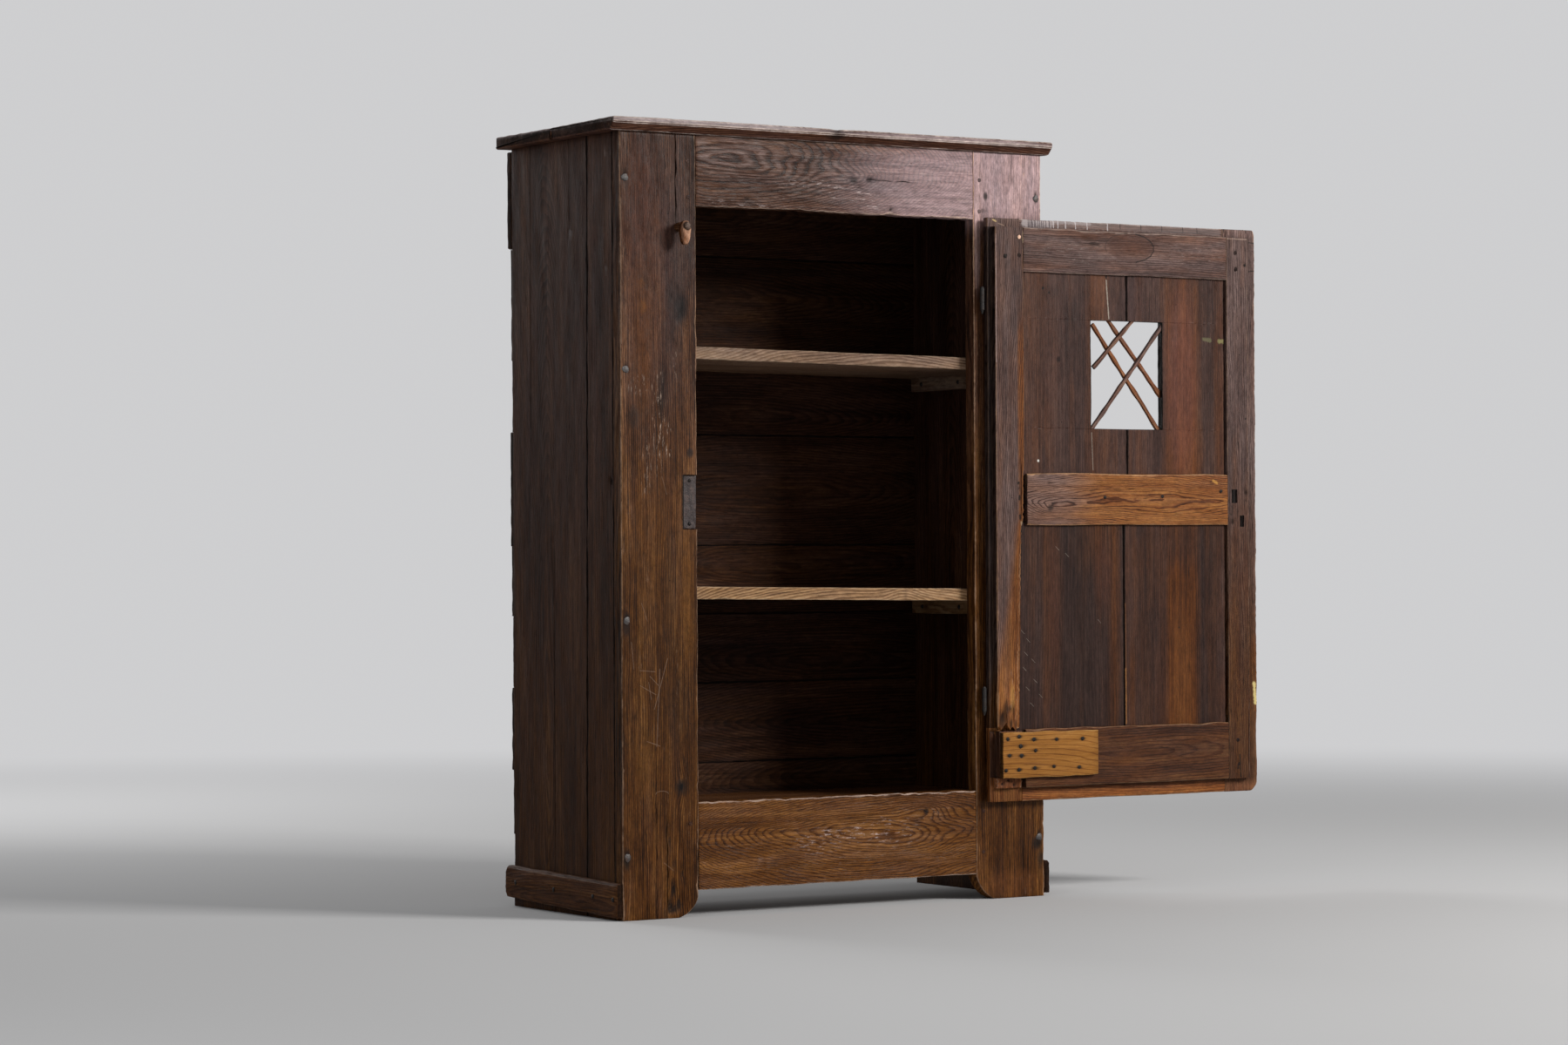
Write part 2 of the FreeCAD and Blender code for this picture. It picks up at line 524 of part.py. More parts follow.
def make_hinge(name, z0, z1):
    """A leaf on the stile with two knuckles, a leaf on the door with one, and the pin."""
    third = (z1 - z0) / 3
    ends = ((z0, z0 + third), (z1 - third, z1))
    middle = (z0 + third + KNUCKLE_GAP, z1 - third - KNUCKLE_GAP)
    bore = rod((HINGE_X, HINGE_Y, z0 - 1), (HINGE_X, HINGE_Y, z1 + 1), PIN_RADIUS)
    free_bore = rod((HINGE_X, HINGE_Y, z0 - 1), (HINGE_X, HINGE_Y, z1 + 1),
                    PIN_RADIUS + RUNNING_CLEARANCE)
    stile_leaf = joined([box(LEAF_START_X, LEAF_END_X, -LEAF_THICK, 0, z0, z1),
                         *[knuckle(*end) for end in ends], *[knee(*end) for end in ends]])
    leaf_back = DOOR_FACE_Y + LEAF_THICK
    door_leaf = joined([box(LEAF_START_X, LEAF_END_X, DOOR_FACE_Y, leaf_back, z0, z1),
                        box(HINGE_X, LEAF_START_X + 1, DOOR_FACE_Y, leaf_back, *middle),
                        knuckle(*middle)])
    shank = rod((HINGE_X, HINGE_Y, z0), (HINGE_X, HINGE_Y, z1), PIN_RADIUS)
    finial = Part.makeCone(FINIAL_RADIUS / 3, FINIAL_RADIUS, FINIAL_LENGTH,
                           FreeCAD.Vector(HINGE_X, HINGE_Y, z0 - FINIAL_LENGTH))
    head = Part.makeCone(FINIAL_RADIUS, FINIAL_RADIUS * HEAD_TAPER, PIN_HEAD_HEIGHT,
                         FreeCAD.Vector(HINGE_X, HINGE_Y, z1))
    pieces[f"{name}_hinge_stile_leaf"] = stile_leaf.cut(bore)
    pieces[f"{name}_hinge_door_leaf"] = door_leaf.cut(free_bore)
    pieces[f"{name}_hinge_pin"] = joined([shank, finial, head])


def make_hinges():
    """The two hinges and the nails that hold their leaves."""
    stile_nails, door_nails = [], []
    for name, (z0, z1) in (("upper", UPPER_BARREL), ("lower", LOWER_BARREL)):
        make_hinge(name, z0, z1)
        for x in HINGE_NAILS_X:
            for z in (z0 + HINGE_NAIL_INSET, z1 - HINGE_NAIL_INSET):
                stile_nails.append(nail(x, -LEAF_THICK, z, Y_AXIS, HINGE_NAIL_LENGTH,
                                        SMALL_HEAD_RADIUS))
                door_nails.append(nail(x, DOOR_FACE_Y + LEAF_THICK, z, Y_AXIS * -1,
                                       HINGE_NAIL_LENGTH, SMALL_HEAD_RADIUS))
    pieces["hinge_stile_nails"] = group(stile_nails)
    pieces["hinge_door_nails"] = group(door_nails)


def make_turn_button():
    """A whittled wooden button that turns on a nail, held off the stile by a round spacer."""
    front, back = BUTTON_Y
    low, high = BUTTON_Z
    half = BUTTON_WIDTH / 2
    outline = [FreeCAD.Vector(BUTTON_X + x, front, z) for x, z in
               ((-half, high - half), (0, high), (half, high - half),
                (half * BUTTON_TAPER, low + half), (0, low), (-half * BUTTON_TAPER, low + half))]
    a, b, c, d, e, f = outline
    wire = Part.Wire([Part.Arc(a, b, c).toShape(), Part.makeLine(c, d),
                      Part.Arc(d, e, f).toShape(), Part.makeLine(f, a)])
    body = Part.Face(wire).extrude(Y_AXIS * (back - front))
    front_edges = [edge for edge in body.Edges if edge.BoundBox.YMax < front + 1]
    body = body.makeFillet(BUTTON_ROUNDING, front_edges)
    hole = rod((BUTTON_X, front - 1, PIVOT_Z), (BUTTON_X, back + 1, PIVOT_Z),
               BUTTON_NAIL_RADIUS + RUNNING_CLEARANCE)
    shank_front = front - BUTTON_END_PLAY
    shank = rod((BUTTON_X, shank_front, PIVOT_Z), (BUTTON_X, BUTTON_NAIL_END_Y, PIVOT_Z),
                BUTTON_NAIL_RADIUS)
    head = Part.makeCone(HEAD_RADIUS, HEAD_RADIUS * HEAD_TAPER, HEAD_HEIGHT,
                         FreeCAD.Vector(BUTTON_X, shank_front, PIVOT_Z), Y_AXIS * -1)
    spacer = rod((BUTTON_X, back + BUTTON_END_PLAY, PIVOT_Z), (BUTTON_X, 0, PIVOT_Z), SPACER_RADIUS)
    pieces["turn_button"] = body.cut(hole)
    pieces["turn_button_nail"] = joined([shank, head])
    pieces["turn_button_spacer"] = spacer


def make_carcass_nails():
    """Every nail of the carcass, in one group for each job."""
    side_middles = (SIDE_THICK / 2, WIDTH - SIDE_THICK / 2)
    top_face = CARCASS_TOP + TOP_THICK
    into_back, down = Y_AXIS * -1, Z_AXIS * -1
    pieces["front_nails"] = group([nail(x, 0, z, Y_AXIS, FRONT_NAIL_LENGTH) for z in FRONT_NAILS_Z
                                   for x in (FRONT_NAILS_LEFT_X, FRONT_NAILS_RIGHT_X)])
    back_nails = []
    for top, bottom in zip(PLANK_LEVELS, PLANK_LEVELS[1:]):
        for share in BACK_NAIL_SHARES:
            z = bottom + (top - bottom) * share
            back_nails += [nail(x, BACK_Y + PLANK_THICK, z, into_back, BACK_NAIL_LENGTH)
                           for x in (BACK_NAIL_INSET, WIDTH - BACK_NAIL_INSET)]
    pieces["back_nails"] = group(back_nails)
    top_nails = [nail(x, y, top_face, down, TOP_NAIL_LENGTH, sunk=HEAD_HEIGHT)
                 for x in side_middles for y in TOP_NAILS_SIDE_Y]
    top_nails += [nail(x, STILE_THICK / 2, top_face, down, TOP_NAIL_LENGTH, sunk=HEAD_HEIGHT)
                  for x in TOP_NAILS_FRONT_X]
    pieces["top_nails"] = group(top_nails)
    plinth_nails = []
    for y in PLINTH_NAILS_Y:
        z = PLINTH_NAIL_Z + y * (PLINTH_BACK[1] - PLINTH_FRONT[1]) / PLINTH_BACK_Y
        plinth_nails.append(nail(-PLINTH_THICK, y, z, X_AXIS, PLINTH_NAIL_LENGTH))
        plinth_nails.append(nail(WIDTH + PLINTH_THICK, y, z, X_AXIS * -1, PLINTH_NAIL_LENGTH))
    pieces["plinth_nails"] = group(plinth_nails)
    cleat_nails = []
    for name in INSIDE_BOARDS:
        for cleat in pieces[name + "_cleats"].Solids:
            room = cleat.BoundBox
            on_left = room.XMin < WIDTH / 2
            face = room.XMax if on_left else room.XMin
            into = X_AXIS * (-1 if on_left else 1)
            z = room.ZMin + CLEAT_HEIGHT / 2
            cleat_nails += [nail(face, y, z, into, CLEAT_NAIL_LENGTH) for y in CLEAT_NAILS_Y]
    pieces["cleat_nails"] = group(cleat_nails)


def make_door_nails():
    """The nails of the patch, the mid rail and the door's face."""
    face_y = DOOR_FACE_Y - DOOR_THICK
    nails = [nail(x, face_y - PATCH_THICK, z, Y_AXIS, PATCH_NAIL_LENGTH, DOOR_HEAD_RADIUS)
             for x, z in PATCH_NAILS]
    for proud, places in ((0, DOOR_FACE_NAILS), (MID_RAIL_PROUD, MID_RAIL_NAILS)):
        nails += [nail(x, face_y - proud, z, Y_AXIS, DOOR_NAIL_LENGTH, DOOR_HEAD_RADIUS)
                  for x, z in places]
    pieces["door_nails"] = group(nails)


def bore_for(fasteners, *boards):
    """Cuts the holes that a group of nails or pegs fills in the boards it goes through."""
    for board in boards:
        pieces[board] = pieces[board].cut(pieces[fasteners].Solids)


def bore_everything():
    """The holes for every nail and peg."""
    stiles = ("left_stile", "right_stile")
    sides = [f"{side}_side_{place}_board" for side in ("left", "right") for place in ("front", "rear")]
    front_sides = [name for name in sides if "front" in name]
    planks = [name for name in pieces if name.startswith("back_plank")]
    cleats = [name + "_cleats" for name in INSIDE_BOARDS]
    bore_for("joint_pegs", *stiles, "top_rail", "bottom_rail")
    bore_for("front_nails", *stiles, *front_sides)
    bore_for("back_nails", *planks, *[name for name in sides if "rear" in name])
    bore_for("top_nails", "top_board_front", "top_board_rear", *sides, *stiles, "top_rail")
    bore_for("plinth_nails", "left_plinth", "right_plinth", *sides, *stiles)
    bore_for("cleat_nails", *sides, *cleats)
    bore_for("keeper_nails", "lock_keeper", "left_stile")
    bore_for("turn_button_nail", "left_stile", "turn_button_spacer")
    bore_for("hinge_stile_nails", "right_stile", "upper_hinge_stile_leaf", "lower_hinge_stile_leaf")
    bore_for("hinge_door_nails", "door_hinge_stile", "upper_hinge_door_leaf", "lower_hinge_door_leaf")
    bore_for("door_pegs", "door_hinge_stile", "door_lock_stile", "door_top_rail", "door_bottom_rail")
    bore_for("door_nails", "door_patch_board", "door_corner_block", "door_hinge_stile",
             "door_lock_stile", "door_top_rail", "door_mid_rail", "door_bottom_rail")


def build():
    """Makes every piece in the cupboard's own coordinates."""
    make_stiles()
    make_front_rails()
    make_sides()
    make_top()
    make_back()
    make_inside_board("floor_board", FLOOR_TOP, FLOOR_TOP, STILE_THICK)
    make_inside_board("upper_shelf", *UPPER_SHELF, SHELF_FRONT_Y)
    make_inside_board("lower_shelf", *LOWER_SHELF, SHELF_FRONT_Y)
    make_plinths()
    make_frame_pegs()
    make_keeper()
    make_panels()
    make_lattice()
    make_door_rails()
    make_door_stiles()
    make_door_repairs()
    make_door_pegs()
    make_hinges()
    make_turn_button()
    make_carcass_nails()
    make_door_nails()
    bore_everything()


def save():
    """Moves every piece to the origin at the middle of the outline and writes it."""
    os.makedirs("parts", exist_ok=True)
    for name, shape in pieces.items():
        moved = shape.translated(FreeCAD.Vector(-ORIGIN_X, -ORIGIN_Y, 0))
        solids = moved.Solids
        result = solids[0] if len(solids) == 1 else Part.makeCompound(solids)
        if not result.isValid() or min(solid.Volume for solid in solids) <= 0:
            raise ValueError(f"{name} isn't a sound solid")
        result.exportStep(f"parts/{name}.step")
        print(name, len(solids), round(result.Volume / 1000, 2), "cm3")


build()
save()
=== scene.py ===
"""Plank-built oak food cupboard with one framed door, shown folded fully open.

Places and sizes are millimetres in the cupboard's own coordinates, with X = 0 at its left side,
Y = 0 at the face of its stiles and Z = 0 on the floor. Meshes are written in metres in the frame.
"""

import math
import zlib
import bmesh
import bpy
import numpy as np
from mathutils import Matrix, Vector


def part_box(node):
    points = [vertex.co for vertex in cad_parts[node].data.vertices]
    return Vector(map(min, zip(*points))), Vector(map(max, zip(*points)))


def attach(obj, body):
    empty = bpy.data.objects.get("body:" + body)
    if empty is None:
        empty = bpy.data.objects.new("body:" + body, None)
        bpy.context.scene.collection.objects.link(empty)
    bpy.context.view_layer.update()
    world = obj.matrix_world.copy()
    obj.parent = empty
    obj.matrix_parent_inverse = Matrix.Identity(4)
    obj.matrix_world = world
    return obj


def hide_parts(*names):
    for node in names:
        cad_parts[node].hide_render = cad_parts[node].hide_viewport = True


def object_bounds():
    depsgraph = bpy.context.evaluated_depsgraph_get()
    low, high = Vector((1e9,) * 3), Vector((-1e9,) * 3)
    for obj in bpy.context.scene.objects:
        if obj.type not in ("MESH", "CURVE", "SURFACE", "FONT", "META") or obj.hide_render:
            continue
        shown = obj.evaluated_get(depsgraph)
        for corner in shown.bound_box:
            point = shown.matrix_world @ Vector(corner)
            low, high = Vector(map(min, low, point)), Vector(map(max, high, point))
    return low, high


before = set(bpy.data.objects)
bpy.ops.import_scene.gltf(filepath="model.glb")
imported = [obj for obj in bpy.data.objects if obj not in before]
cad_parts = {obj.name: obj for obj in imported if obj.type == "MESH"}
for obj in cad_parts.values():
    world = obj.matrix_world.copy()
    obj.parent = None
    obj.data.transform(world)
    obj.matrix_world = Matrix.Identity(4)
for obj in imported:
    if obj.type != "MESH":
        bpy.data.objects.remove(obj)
cad_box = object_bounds()

MM = 0.001
ORIGIN = np.array(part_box("left_stile")[0])
cad_limits = [np.array(corner) for corner in cad_box]

# Spacing of mesh points along and across a board: on the face seen close, elsewhere, and out of sight
FINE = (7, 6)
PLAIN = (10, 9)
COARSE = (18, 14)

# Camera solved on the photograph, in the cupboard's millimetres and degrees
CAMERA_AT = (-4093.68, -6992.44, 730.37)
CAMERA_YAW, CAMERA_PITCH, CAMERA_ROLL = -32.638, 0.4356, -0.2892
CAMERA_FOCAL = 4671.95
PICTURE_WIDTH = 1800
SENSOR_WIDTH = 36

# Colours of the woods, from their darkest to their lightest lines
CARCASS_COOL = ((0.01, 0.005, 0.004), (0.04, 0.018, 0.0135), (0.082, 0.038, 0.029), (0.19, 0.105, 0.082))
CARCASS_WARM = ((0.012, 0.004, 0.001), (0.05, 0.016, 0.003), (0.105, 0.037, 0.007), (0.24, 0.105, 0.028))
DOOR_COOL = ((0.016, 0.009, 0.008), (0.055, 0.03, 0.025), (0.105, 0.063, 0.055), (0.22, 0.148, 0.132))
DOOR_WARM = ((0.03, 0.009, 0.002), (0.112, 0.032, 0.008), (0.218, 0.07, 0.017), (0.38, 0.16, 0.044))
PANEL_COOL = ((0.012, 0.006, 0.005), (0.038, 0.018, 0.014), (0.068, 0.035, 0.027), (0.12, 0.068, 0.052))
PANEL_WARM = ((0.022, 0.007, 0.001), (0.075, 0.022, 0.005), (0.14, 0.044, 0.009), (0.23, 0.088, 0.02))
SHELF_COOL = ((0.085, 0.047, 0.032), (0.19, 0.115, 0.08), (0.29, 0.19, 0.14), (0.43, 0.315, 0.245))
SHELF_WARM = ((0.08, 0.035, 0.012), (0.24, 0.125, 0.05), (0.36, 0.205, 0.088), (0.5, 0.33, 0.17))
PINE_COOL = ((0.075, 0.025, 0.005), (0.19, 0.07, 0.013), (0.275, 0.112, 0.021), (0.38, 0.175, 0.042))
BUTTON_COOL = ((0.05, 0.016, 0.006), (0.19, 0.075, 0.03), (0.33, 0.15, 0.07), (0.52, 0.3, 0.19))
RAMP_PLACES = (0.12, 0.4, 0.62, 0.95)
HOLE_BLACK = (0.004, 0.003, 0.003)
# Near black for painted shade inside the lock slots and the window's reveal
HOLLOW_SHADE_BLACK = (0.004, 0.003, 0.0025)
GRIME_BLACK = (0.006, 0.0045, 0.004)

# Scratches and light zones show only in front of these depths, on the carcass and on the open door
CARCASS_MARKS = 4
DOOR_MARKS = -16

# Saw marks along the door's top lip, the slots of the lost lock and the air window
KERFS = (988, 991.5, 996, 999, 1004, 1007, 1013, 1018, 1023, 1028, 1034, 1043,
         1054, 1066, 1086, 1112, 1143, 1198)
SCUFFS = ((958, 566), (972, 548), (966, 520), (985, 505), (962, 488), (990, 462),
          (970, 446), (1004, 430), (981, 412), (1050, 742), (1075, 728), (1160, 586))
LOCK_SLOTS = ((1523, 1536.5, 836, 865), (1546, 1555.5, 784, 808))
WINDOW_X = (1146.5, 1337.5)
WINDOW_Z = (993.5, 1225.5)


def room(node):
    """A node's box in the cupboard's millimetres, as low and high for each axis."""
    low, high = (np.array(corner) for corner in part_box(node))
    low, high = (low - ORIGIN) / MM, (high - ORIGIN) / MM
    return {axis: (low[i], high[i]) for i, axis in enumerate("xyz")}


def seed_of(name):
    """A number that stays the same for a name."""
    return zlib.crc32(name.encode()) % 100000


class Ripple:
    """A smooth random function of one or two lengths, mostly between -1 and 1."""

    def __init__(self, seed, size_u, size_v=1e9, waves=7):
        rng = np.random.default_rng(seed)
        self.u = rng.uniform(0.5, 1.7, waves) * rng.choice((-1, 1), waves) * 2 * math.pi / size_u
        self.v = rng.uniform(0.5, 1.7, waves) * 2 * math.pi / size_v
        self.phase = rng.uniform(0, 2 * math.pi, waves)
        self.scale = math.sqrt(2 / waves) / 1.5

    def __call__(self, u, v=0):
        u, v = np.broadcast_arrays(np.asarray(u, float), np.asarray(v, float))
        angles = u[..., None] * self.u + v[..., None] * self.v + self.phase
        return np.sin(angles).sum(-1) * self.scale


def smooth(value, low, high):
    """Rises smoothly from 0 at low to 1 at high."""
    t = np.clip((np.asarray(value, float) - low) / (high - low), 0, 1)
    return t * t * (3 - 2 * t)


def between(value, low, high, soft=6):
    """About 1 between two values and 0 outside them."""
    return smooth(value, low - soft, low + soft) * (1 - smooth(value, high - soft, high + soft))


def bump(distance, reach):
    """A smooth hill of height 1."""
    return np.exp(-(np.asarray(distance, float) / reach) ** 2)


def station_values(span, spacing, steps, end):
    """Places along a board where its section is drawn, doubled at steps and closer at the ends."""
    low, high = span
    count = max(2, round((high - low) / spacing))
    values = [v for v in np.linspace(low, high, count + 1)[1:-1]
              if low + 2 * end < v < high - 2 * end and all(abs(v - step) > 2 for step in steps)]
    for step in steps:
        values += [step - 0.2, step + 0.2]
    for share in (0, 0.3, 1):
        values += [low + share * end, high - share * end]
    return np.array(sorted(values))


def side_columns(length, spacing, lines):
    """Where columns of points stand on one side of the section, as shares of its length."""
    near = min(2 / length, 0.2)
    count = max(1, round(length / spacing))
    shares = [i / count for i in range(1, count)]
    shares = [s for s in shares if near * 1.5 < s < 1 - near * 1.5]
    for line in lines:
        shares = [s for s in shares if not line["low"] < s * length < line["high"]]
    places = [(share, None) for share in (near, *shares, 1 - near)]
    places += [(line["middle"] / length, line) for line in lines]
    return sorted(places, key=lambda place: place[0])


def in_order(distances, low, high, apart=0.12):
    """Keeps the columns of a side in order at every station, and inside the side."""
    step = apart * np.arange(distances.shape[1])
    rising = np.maximum.accumulate(np.maximum(distances, low[:, None]) - step, 1) + step
    back = step[::-1]
    held = np.minimum(rising, high[:, None]) + back
    return np.minimum.accumulate(held[:, ::-1], 1)[:, ::-1] - back


class Board:
    """A board lofted along its grain from sections with rounded, worn corners."""

    def __init__(self, name, axes, span, corners, radius=2, spacing=PLAIN, cracks=(), lines=(),
                 chips=(), steps=(), end=1.6, undulation=0.35, wander=0.5, pits=(), shift=None,
                 reshape=None, grime=0, end_grime=0.7):
        self.along, self.across, self.depth = ("xyz".index(axis) for axis in axes)
        self.seed = seed_of(name)
        self.s = station_values(span, spacing[0], steps, end)
        self.corners = self.corner_table(corners, wander)
        self.radii = self.radius_table(radius, chips)
        self.add_lines(lines, cracks)
        self.make_columns(spacing[1])
        self.round_ends(span, end)
        self.undulate(undulation, pits)
        self.soil_edges(grime, end_grime * self.inset / end)
        self.place(shift, reshape)

    def corner_table(self, corners, wander):
        """Corners at every station, with edges that wander a little."""
        rows = []
        for number, (a, b) in enumerate(corners(self.s)):
            sway = Ripple(self.seed + 10 * number, 420)(self.s) * wander
            rows.append(np.stack(np.broadcast_arrays(a + sway, np.asarray(b, float) + 0 * self.s), -1))
        return np.stack(rows, 1)

    def radius_table(self, radius, chips):
        """Corner radii at every station: worn unevenly, and larger where a chip has gone."""
        count = self.corners.shape[1]
        base = np.broadcast_to(np.asarray(radius, float), (count,))
        table = []
        for number in range(count):
            uneven = 1 + 0.3 * Ripple(self.seed + 3 * number, 90)(self.s) \
                + 0.25 * Ripple(self.seed + 7 * number, 23)(self.s)
            table.append(base[number] * np.clip(uneven, 0.4, 1.8))
        for corner, place, reach, extra in chips:
            table[corner] = table[corner] + extra * bump(self.s - place, reach)
        return np.stack(table, 1)

    def add_lines(self, lines, cracks):
        """Extra columns on the first side: single ones, and three for each crack."""
        start = self.corners[:, 0, 0]
        direction = np.sign(self.corners[:, 1, 0] - start).mean()
        self.lines = []

        def line(place, push):
            at = (place - start) * direction
            self.lines.append({"middle": float(at.mean()), "low": float(at.min()) - 2.5,
                               "high": float(at.max()) + 2.5, "at": at, "push": push})

        for place in lines:
            line(place + 0 * self.s, 0 * self.s)
        for number, crack in enumerate(cracks):
            place, low, high, width, depth = crack[:5]
            lean = crack[5] if len(crack) > 5 else 0
            jitter = Ripple(self.seed + 50 + number, 60)(self.s)
            centre = place + lean * (np.clip(self.s, low, high) - (low + high) / 2) + 0.9 * jitter
            inside = smooth(self.s, low - 4, low + 25) * (1 - smooth(self.s, high - 25, high + 4))
            if low <= self.s[0] + 5:
                inside = 1 - smooth(self.s, high - 40, high + 4)
            if high >= self.s[-1] - 5:
                inside = smooth(self.s, low - 4, low + 40)
            inside = inside * (0.75 + 0.25 * jitter)
            half = np.maximum(width * inside, 0.25)
            line(centre - half, 0 * self.s)
            line(centre, depth * inside)
            line(centre + half, 0 * self.s)

    def make_columns(self, spacing):
        """Points round the section at every station, with their wear, cracks and side number."""
        count = self.corners.shape[1]
        columns, wear, push, sides, arcs = [], [], [], [], []
        for k in range(count):
            here = self.corners[:, k]
            to_last = self.corners[:, k - 1] - here
            to_next = self.corners[:, (k + 1) % count] - here
            last_length = np.maximum(np.linalg.norm(to_last, axis=1), 1e-6)
            next_length = np.maximum(np.linalg.norm(to_next, axis=1), 1e-6)
            r = np.minimum(self.radii[:, k], 0.45 * np.minimum(last_length, next_length))
            r_next = np.minimum(self.radii[:, (k + 1) % count], 0.45 * next_length)
            unit = to_next / next_length[:, None]
            start = here + to_last / last_length[:, None] * r[:, None]
            end = here + unit * r[:, None]
            for t, worn in ((0, 0.5), (1 / 3, 1), (2 / 3, 1), (1, 0.5)):
                columns.append((1 - t) ** 2 * start + 2 * t * (1 - t) * here + t * t * end)
                wear.append(worn)
                push.append(0 * self.s)
                sides.append(k)
                arcs.append(k)
            places = side_columns(float(np.max(next_length)), spacing, self.lines if k == 0 else ())
            free = next_length - r - r_next
            distances = np.stack([r + share * free if line is None else line["at"] + 0 * r
                                  for share, line in places], 1)
            distances = in_order(distances, r, next_length - r_next)
            for column, (share, line) in enumerate(places):
                columns.append(here + unit * distances[:, column, None])
                push.append(0 * self.s if line is None else line["push"])
                wear.append(0.15 if share < 0.03 or share > 0.97 else 0)
                sides.append(k)
                arcs.append(-1)
        self.points = np.stack(columns, 1)
        self.wear = np.broadcast_to(np.array(wear), self.points.shape[:2]).copy()
        self.push = np.stack(push, 1)
        self.sides = np.array(sides)
        self.arcs = np.array(arcs)
        area = self.corners[len(self.s) // 2]
        x, y = area[:, 0], area[:, 1]
        self.turn = np.sign((x * np.roll(y, -1) - y * np.roll(x, -1)).sum())

    def normals(self):
        """Outward directions in the section's plane."""
        tangent = np.roll(self.points, -1, 1) - np.roll(self.points, 1, 1)
        normal = np.stack((tangent[..., 1], -tangent[..., 0]), -1) * self.turn
        length = np.maximum(np.linalg.norm(normal, axis=-1, keepdims=True), 1e-6)
        return normal / length

    def round_ends(self, span, end):
        """Draws the outline in at the two ends, so that they are eased."""
        from_end = np.minimum(self.s - span[0], span[1] - self.s)
        reach = np.clip(end - from_end, 0, end)
        inset = end - np.sqrt(end ** 2 - reach ** 2)
        self.inset = inset[:, None]
        self.points = self.points - self.normals() * inset[:, None, None]
        self.wear = np.maximum(self.wear, (0.25 * inset / end)[:, None])

    def undulate(self, amount, pits):
        """Plane marks and hollows over the faces, cracks, and pits on the first side."""
        s = self.s[:, None]
        round_way = self.points[..., 0] + 1.7 * self.points[..., 1]
        lift = amount * Ripple(self.seed + 1, 190, 60)(s, round_way)
        lift = lift + 0.4 * amount * Ripple(self.seed + 2, 45, 16)(s, round_way)
        first = (self.sides == 0)[None, :]
        self.dirt = np.clip(self.push / 2, 0, 1)
        for number in np.nonzero(self.push.max(0) > 0)[0]:
            beside = 0.45 * self.dirt[:, number]
            self.dirt[:, number - 1] = np.maximum(self.dirt[:, number - 1], beside)
            self.dirt[:, number + 1] = np.maximum(self.dirt[:, number + 1], beside)
        for place, across, reach_s, reach_a, depth in pits:
            hollow = bump(s - place, reach_s) * bump(self.points[..., 0] - across, reach_a)
            lift = lift - depth * hollow * first
            self.dirt = np.maximum(self.dirt, min(1, depth / 3.2) * hollow * first)
        self.points = self.points + self.normals() * (lift - self.push)[..., None]

    def soil_edges(self, grime, at_ends):
        """Dirt instead of wear along the corners that meet another board, and at the ends."""
        amounts = np.broadcast_to(np.asarray(grime, float), (self.corners.shape[1],))
        soiled = np.where(self.arcs >= 0, amounts[self.arcs], 0)[None, :] + 0 * self.wear
        self.dirt = np.maximum(self.dirt, np.maximum(soiled, at_ends))
        self.wear = self.wear * (1 - np.clip(soiled * 2, 0, 1))

    def place(self, shift, reshape):
        """Gives every point its coordinates along, across and through the board."""
        self.a, self.b = self.points[..., 0], self.points[..., 1]
        self.l = np.broadcast_to(self.s[:, None], self.a.shape).copy()
        if reshape:
            self.a, self.b = reshape(self.l, self.a, self.b)
        if shift:
            self.l = self.l + shift(self.l, self.a, self.b)

    def faces(self, slots):
        """Quads between the sections, caps on the ends and walls in the slots."""
        stations, columns = self.a.shape
        index = np.arange(stations * columns).reshape(stations, columns)
        following = np.roll(index, -1, 1)
        quads = np.stack((index[:-1], following[:-1], following[1:], index[1:]), -1)
        keep = np.ones(quads.shape[:2], bool)
        walls = []
        for a0, a1, s0, s1 in slots:
            rows = np.nonzero((self.s > s0) & (self.s < s1))[0]
            i0, i1 = rows[0], rows[-1]
            pairs = []
            for side in (0, self.back_side):
                on_side = np.nonzero(self.sides == side)[0]
                places = self.a[i0, on_side]
                pairs.append([on_side[np.argmin(abs(places - a))] for a in (a0, a1)])
            (f0, f1), (g0, g1) = pairs
            keep[i0:i1, min(f0, f1)] = False
            keep[i0:i1, min(g0, g1)] = False
            for i in range(i0, i1):
                walls.append((index[i, f0], index[i + 1, f0], index[i + 1, g0], index[i, g0]))
                walls.append((index[i + 1, f1], index[i, f1], index[i, g1], index[i + 1, g1]))
            walls.append((index[i0, f1], index[i0, f0], index[i0, g0], index[i0, g1]))
            walls.append((index[i1, f0], index[i1, f1], index[i1, g1], index[i1, g0]))
        made = [tuple(int(v) for v in quad) for quad in quads[keep]]
        made += [tuple(int(v) for v in wall) for wall in walls]
        made.append(tuple(int(v) for v in index[0][::-1]))
        made.append(tuple(int(v) for v in index[-1]))
        return made

    def coordinates(self):
        """Every point in the frame, in metres."""
        xyz = np.zeros((self.a.size, 3))
        xyz[:, self.along] = self.l.ravel()
        xyz[:, self.across] = self.a.ravel()
        xyz[:, self.depth] = self.b.ravel()
        return np.clip(xyz * MM + ORIGIN, *cad_limits)


def add_attribute(mesh, name, values):
    """Stores a number or a vector on every point."""
    values = np.asarray(values, np.float32)
    kind = "FLOAT_VECTOR" if values.ndim == 2 else "FLOAT"
    attribute = mesh.attributes.new(name, kind, "POINT")
    attribute.data.foreach_set("vector" if values.ndim == 2 else "value", values.ravel())


def finished(mesh, name, body, material, nodes, smooth_angle=42):
    """Makes the object of a mesh, shades it and ties it to its body, slot and nodes."""
    mesh.validate()
    mesh.polygons.foreach_set("use_smooth", [True] * len(mesh.polygons))
    mesh.set_sharp_from_angle(angle=math.radians(smooth_angle))
    mesh.materials.append(material)
    obj = bpy.data.objects.new(name, mesh)
    bpy.context.scene.collection.objects.link(obj)
    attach(obj, body)
    if nodes:
        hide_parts(*nodes)
    return obj


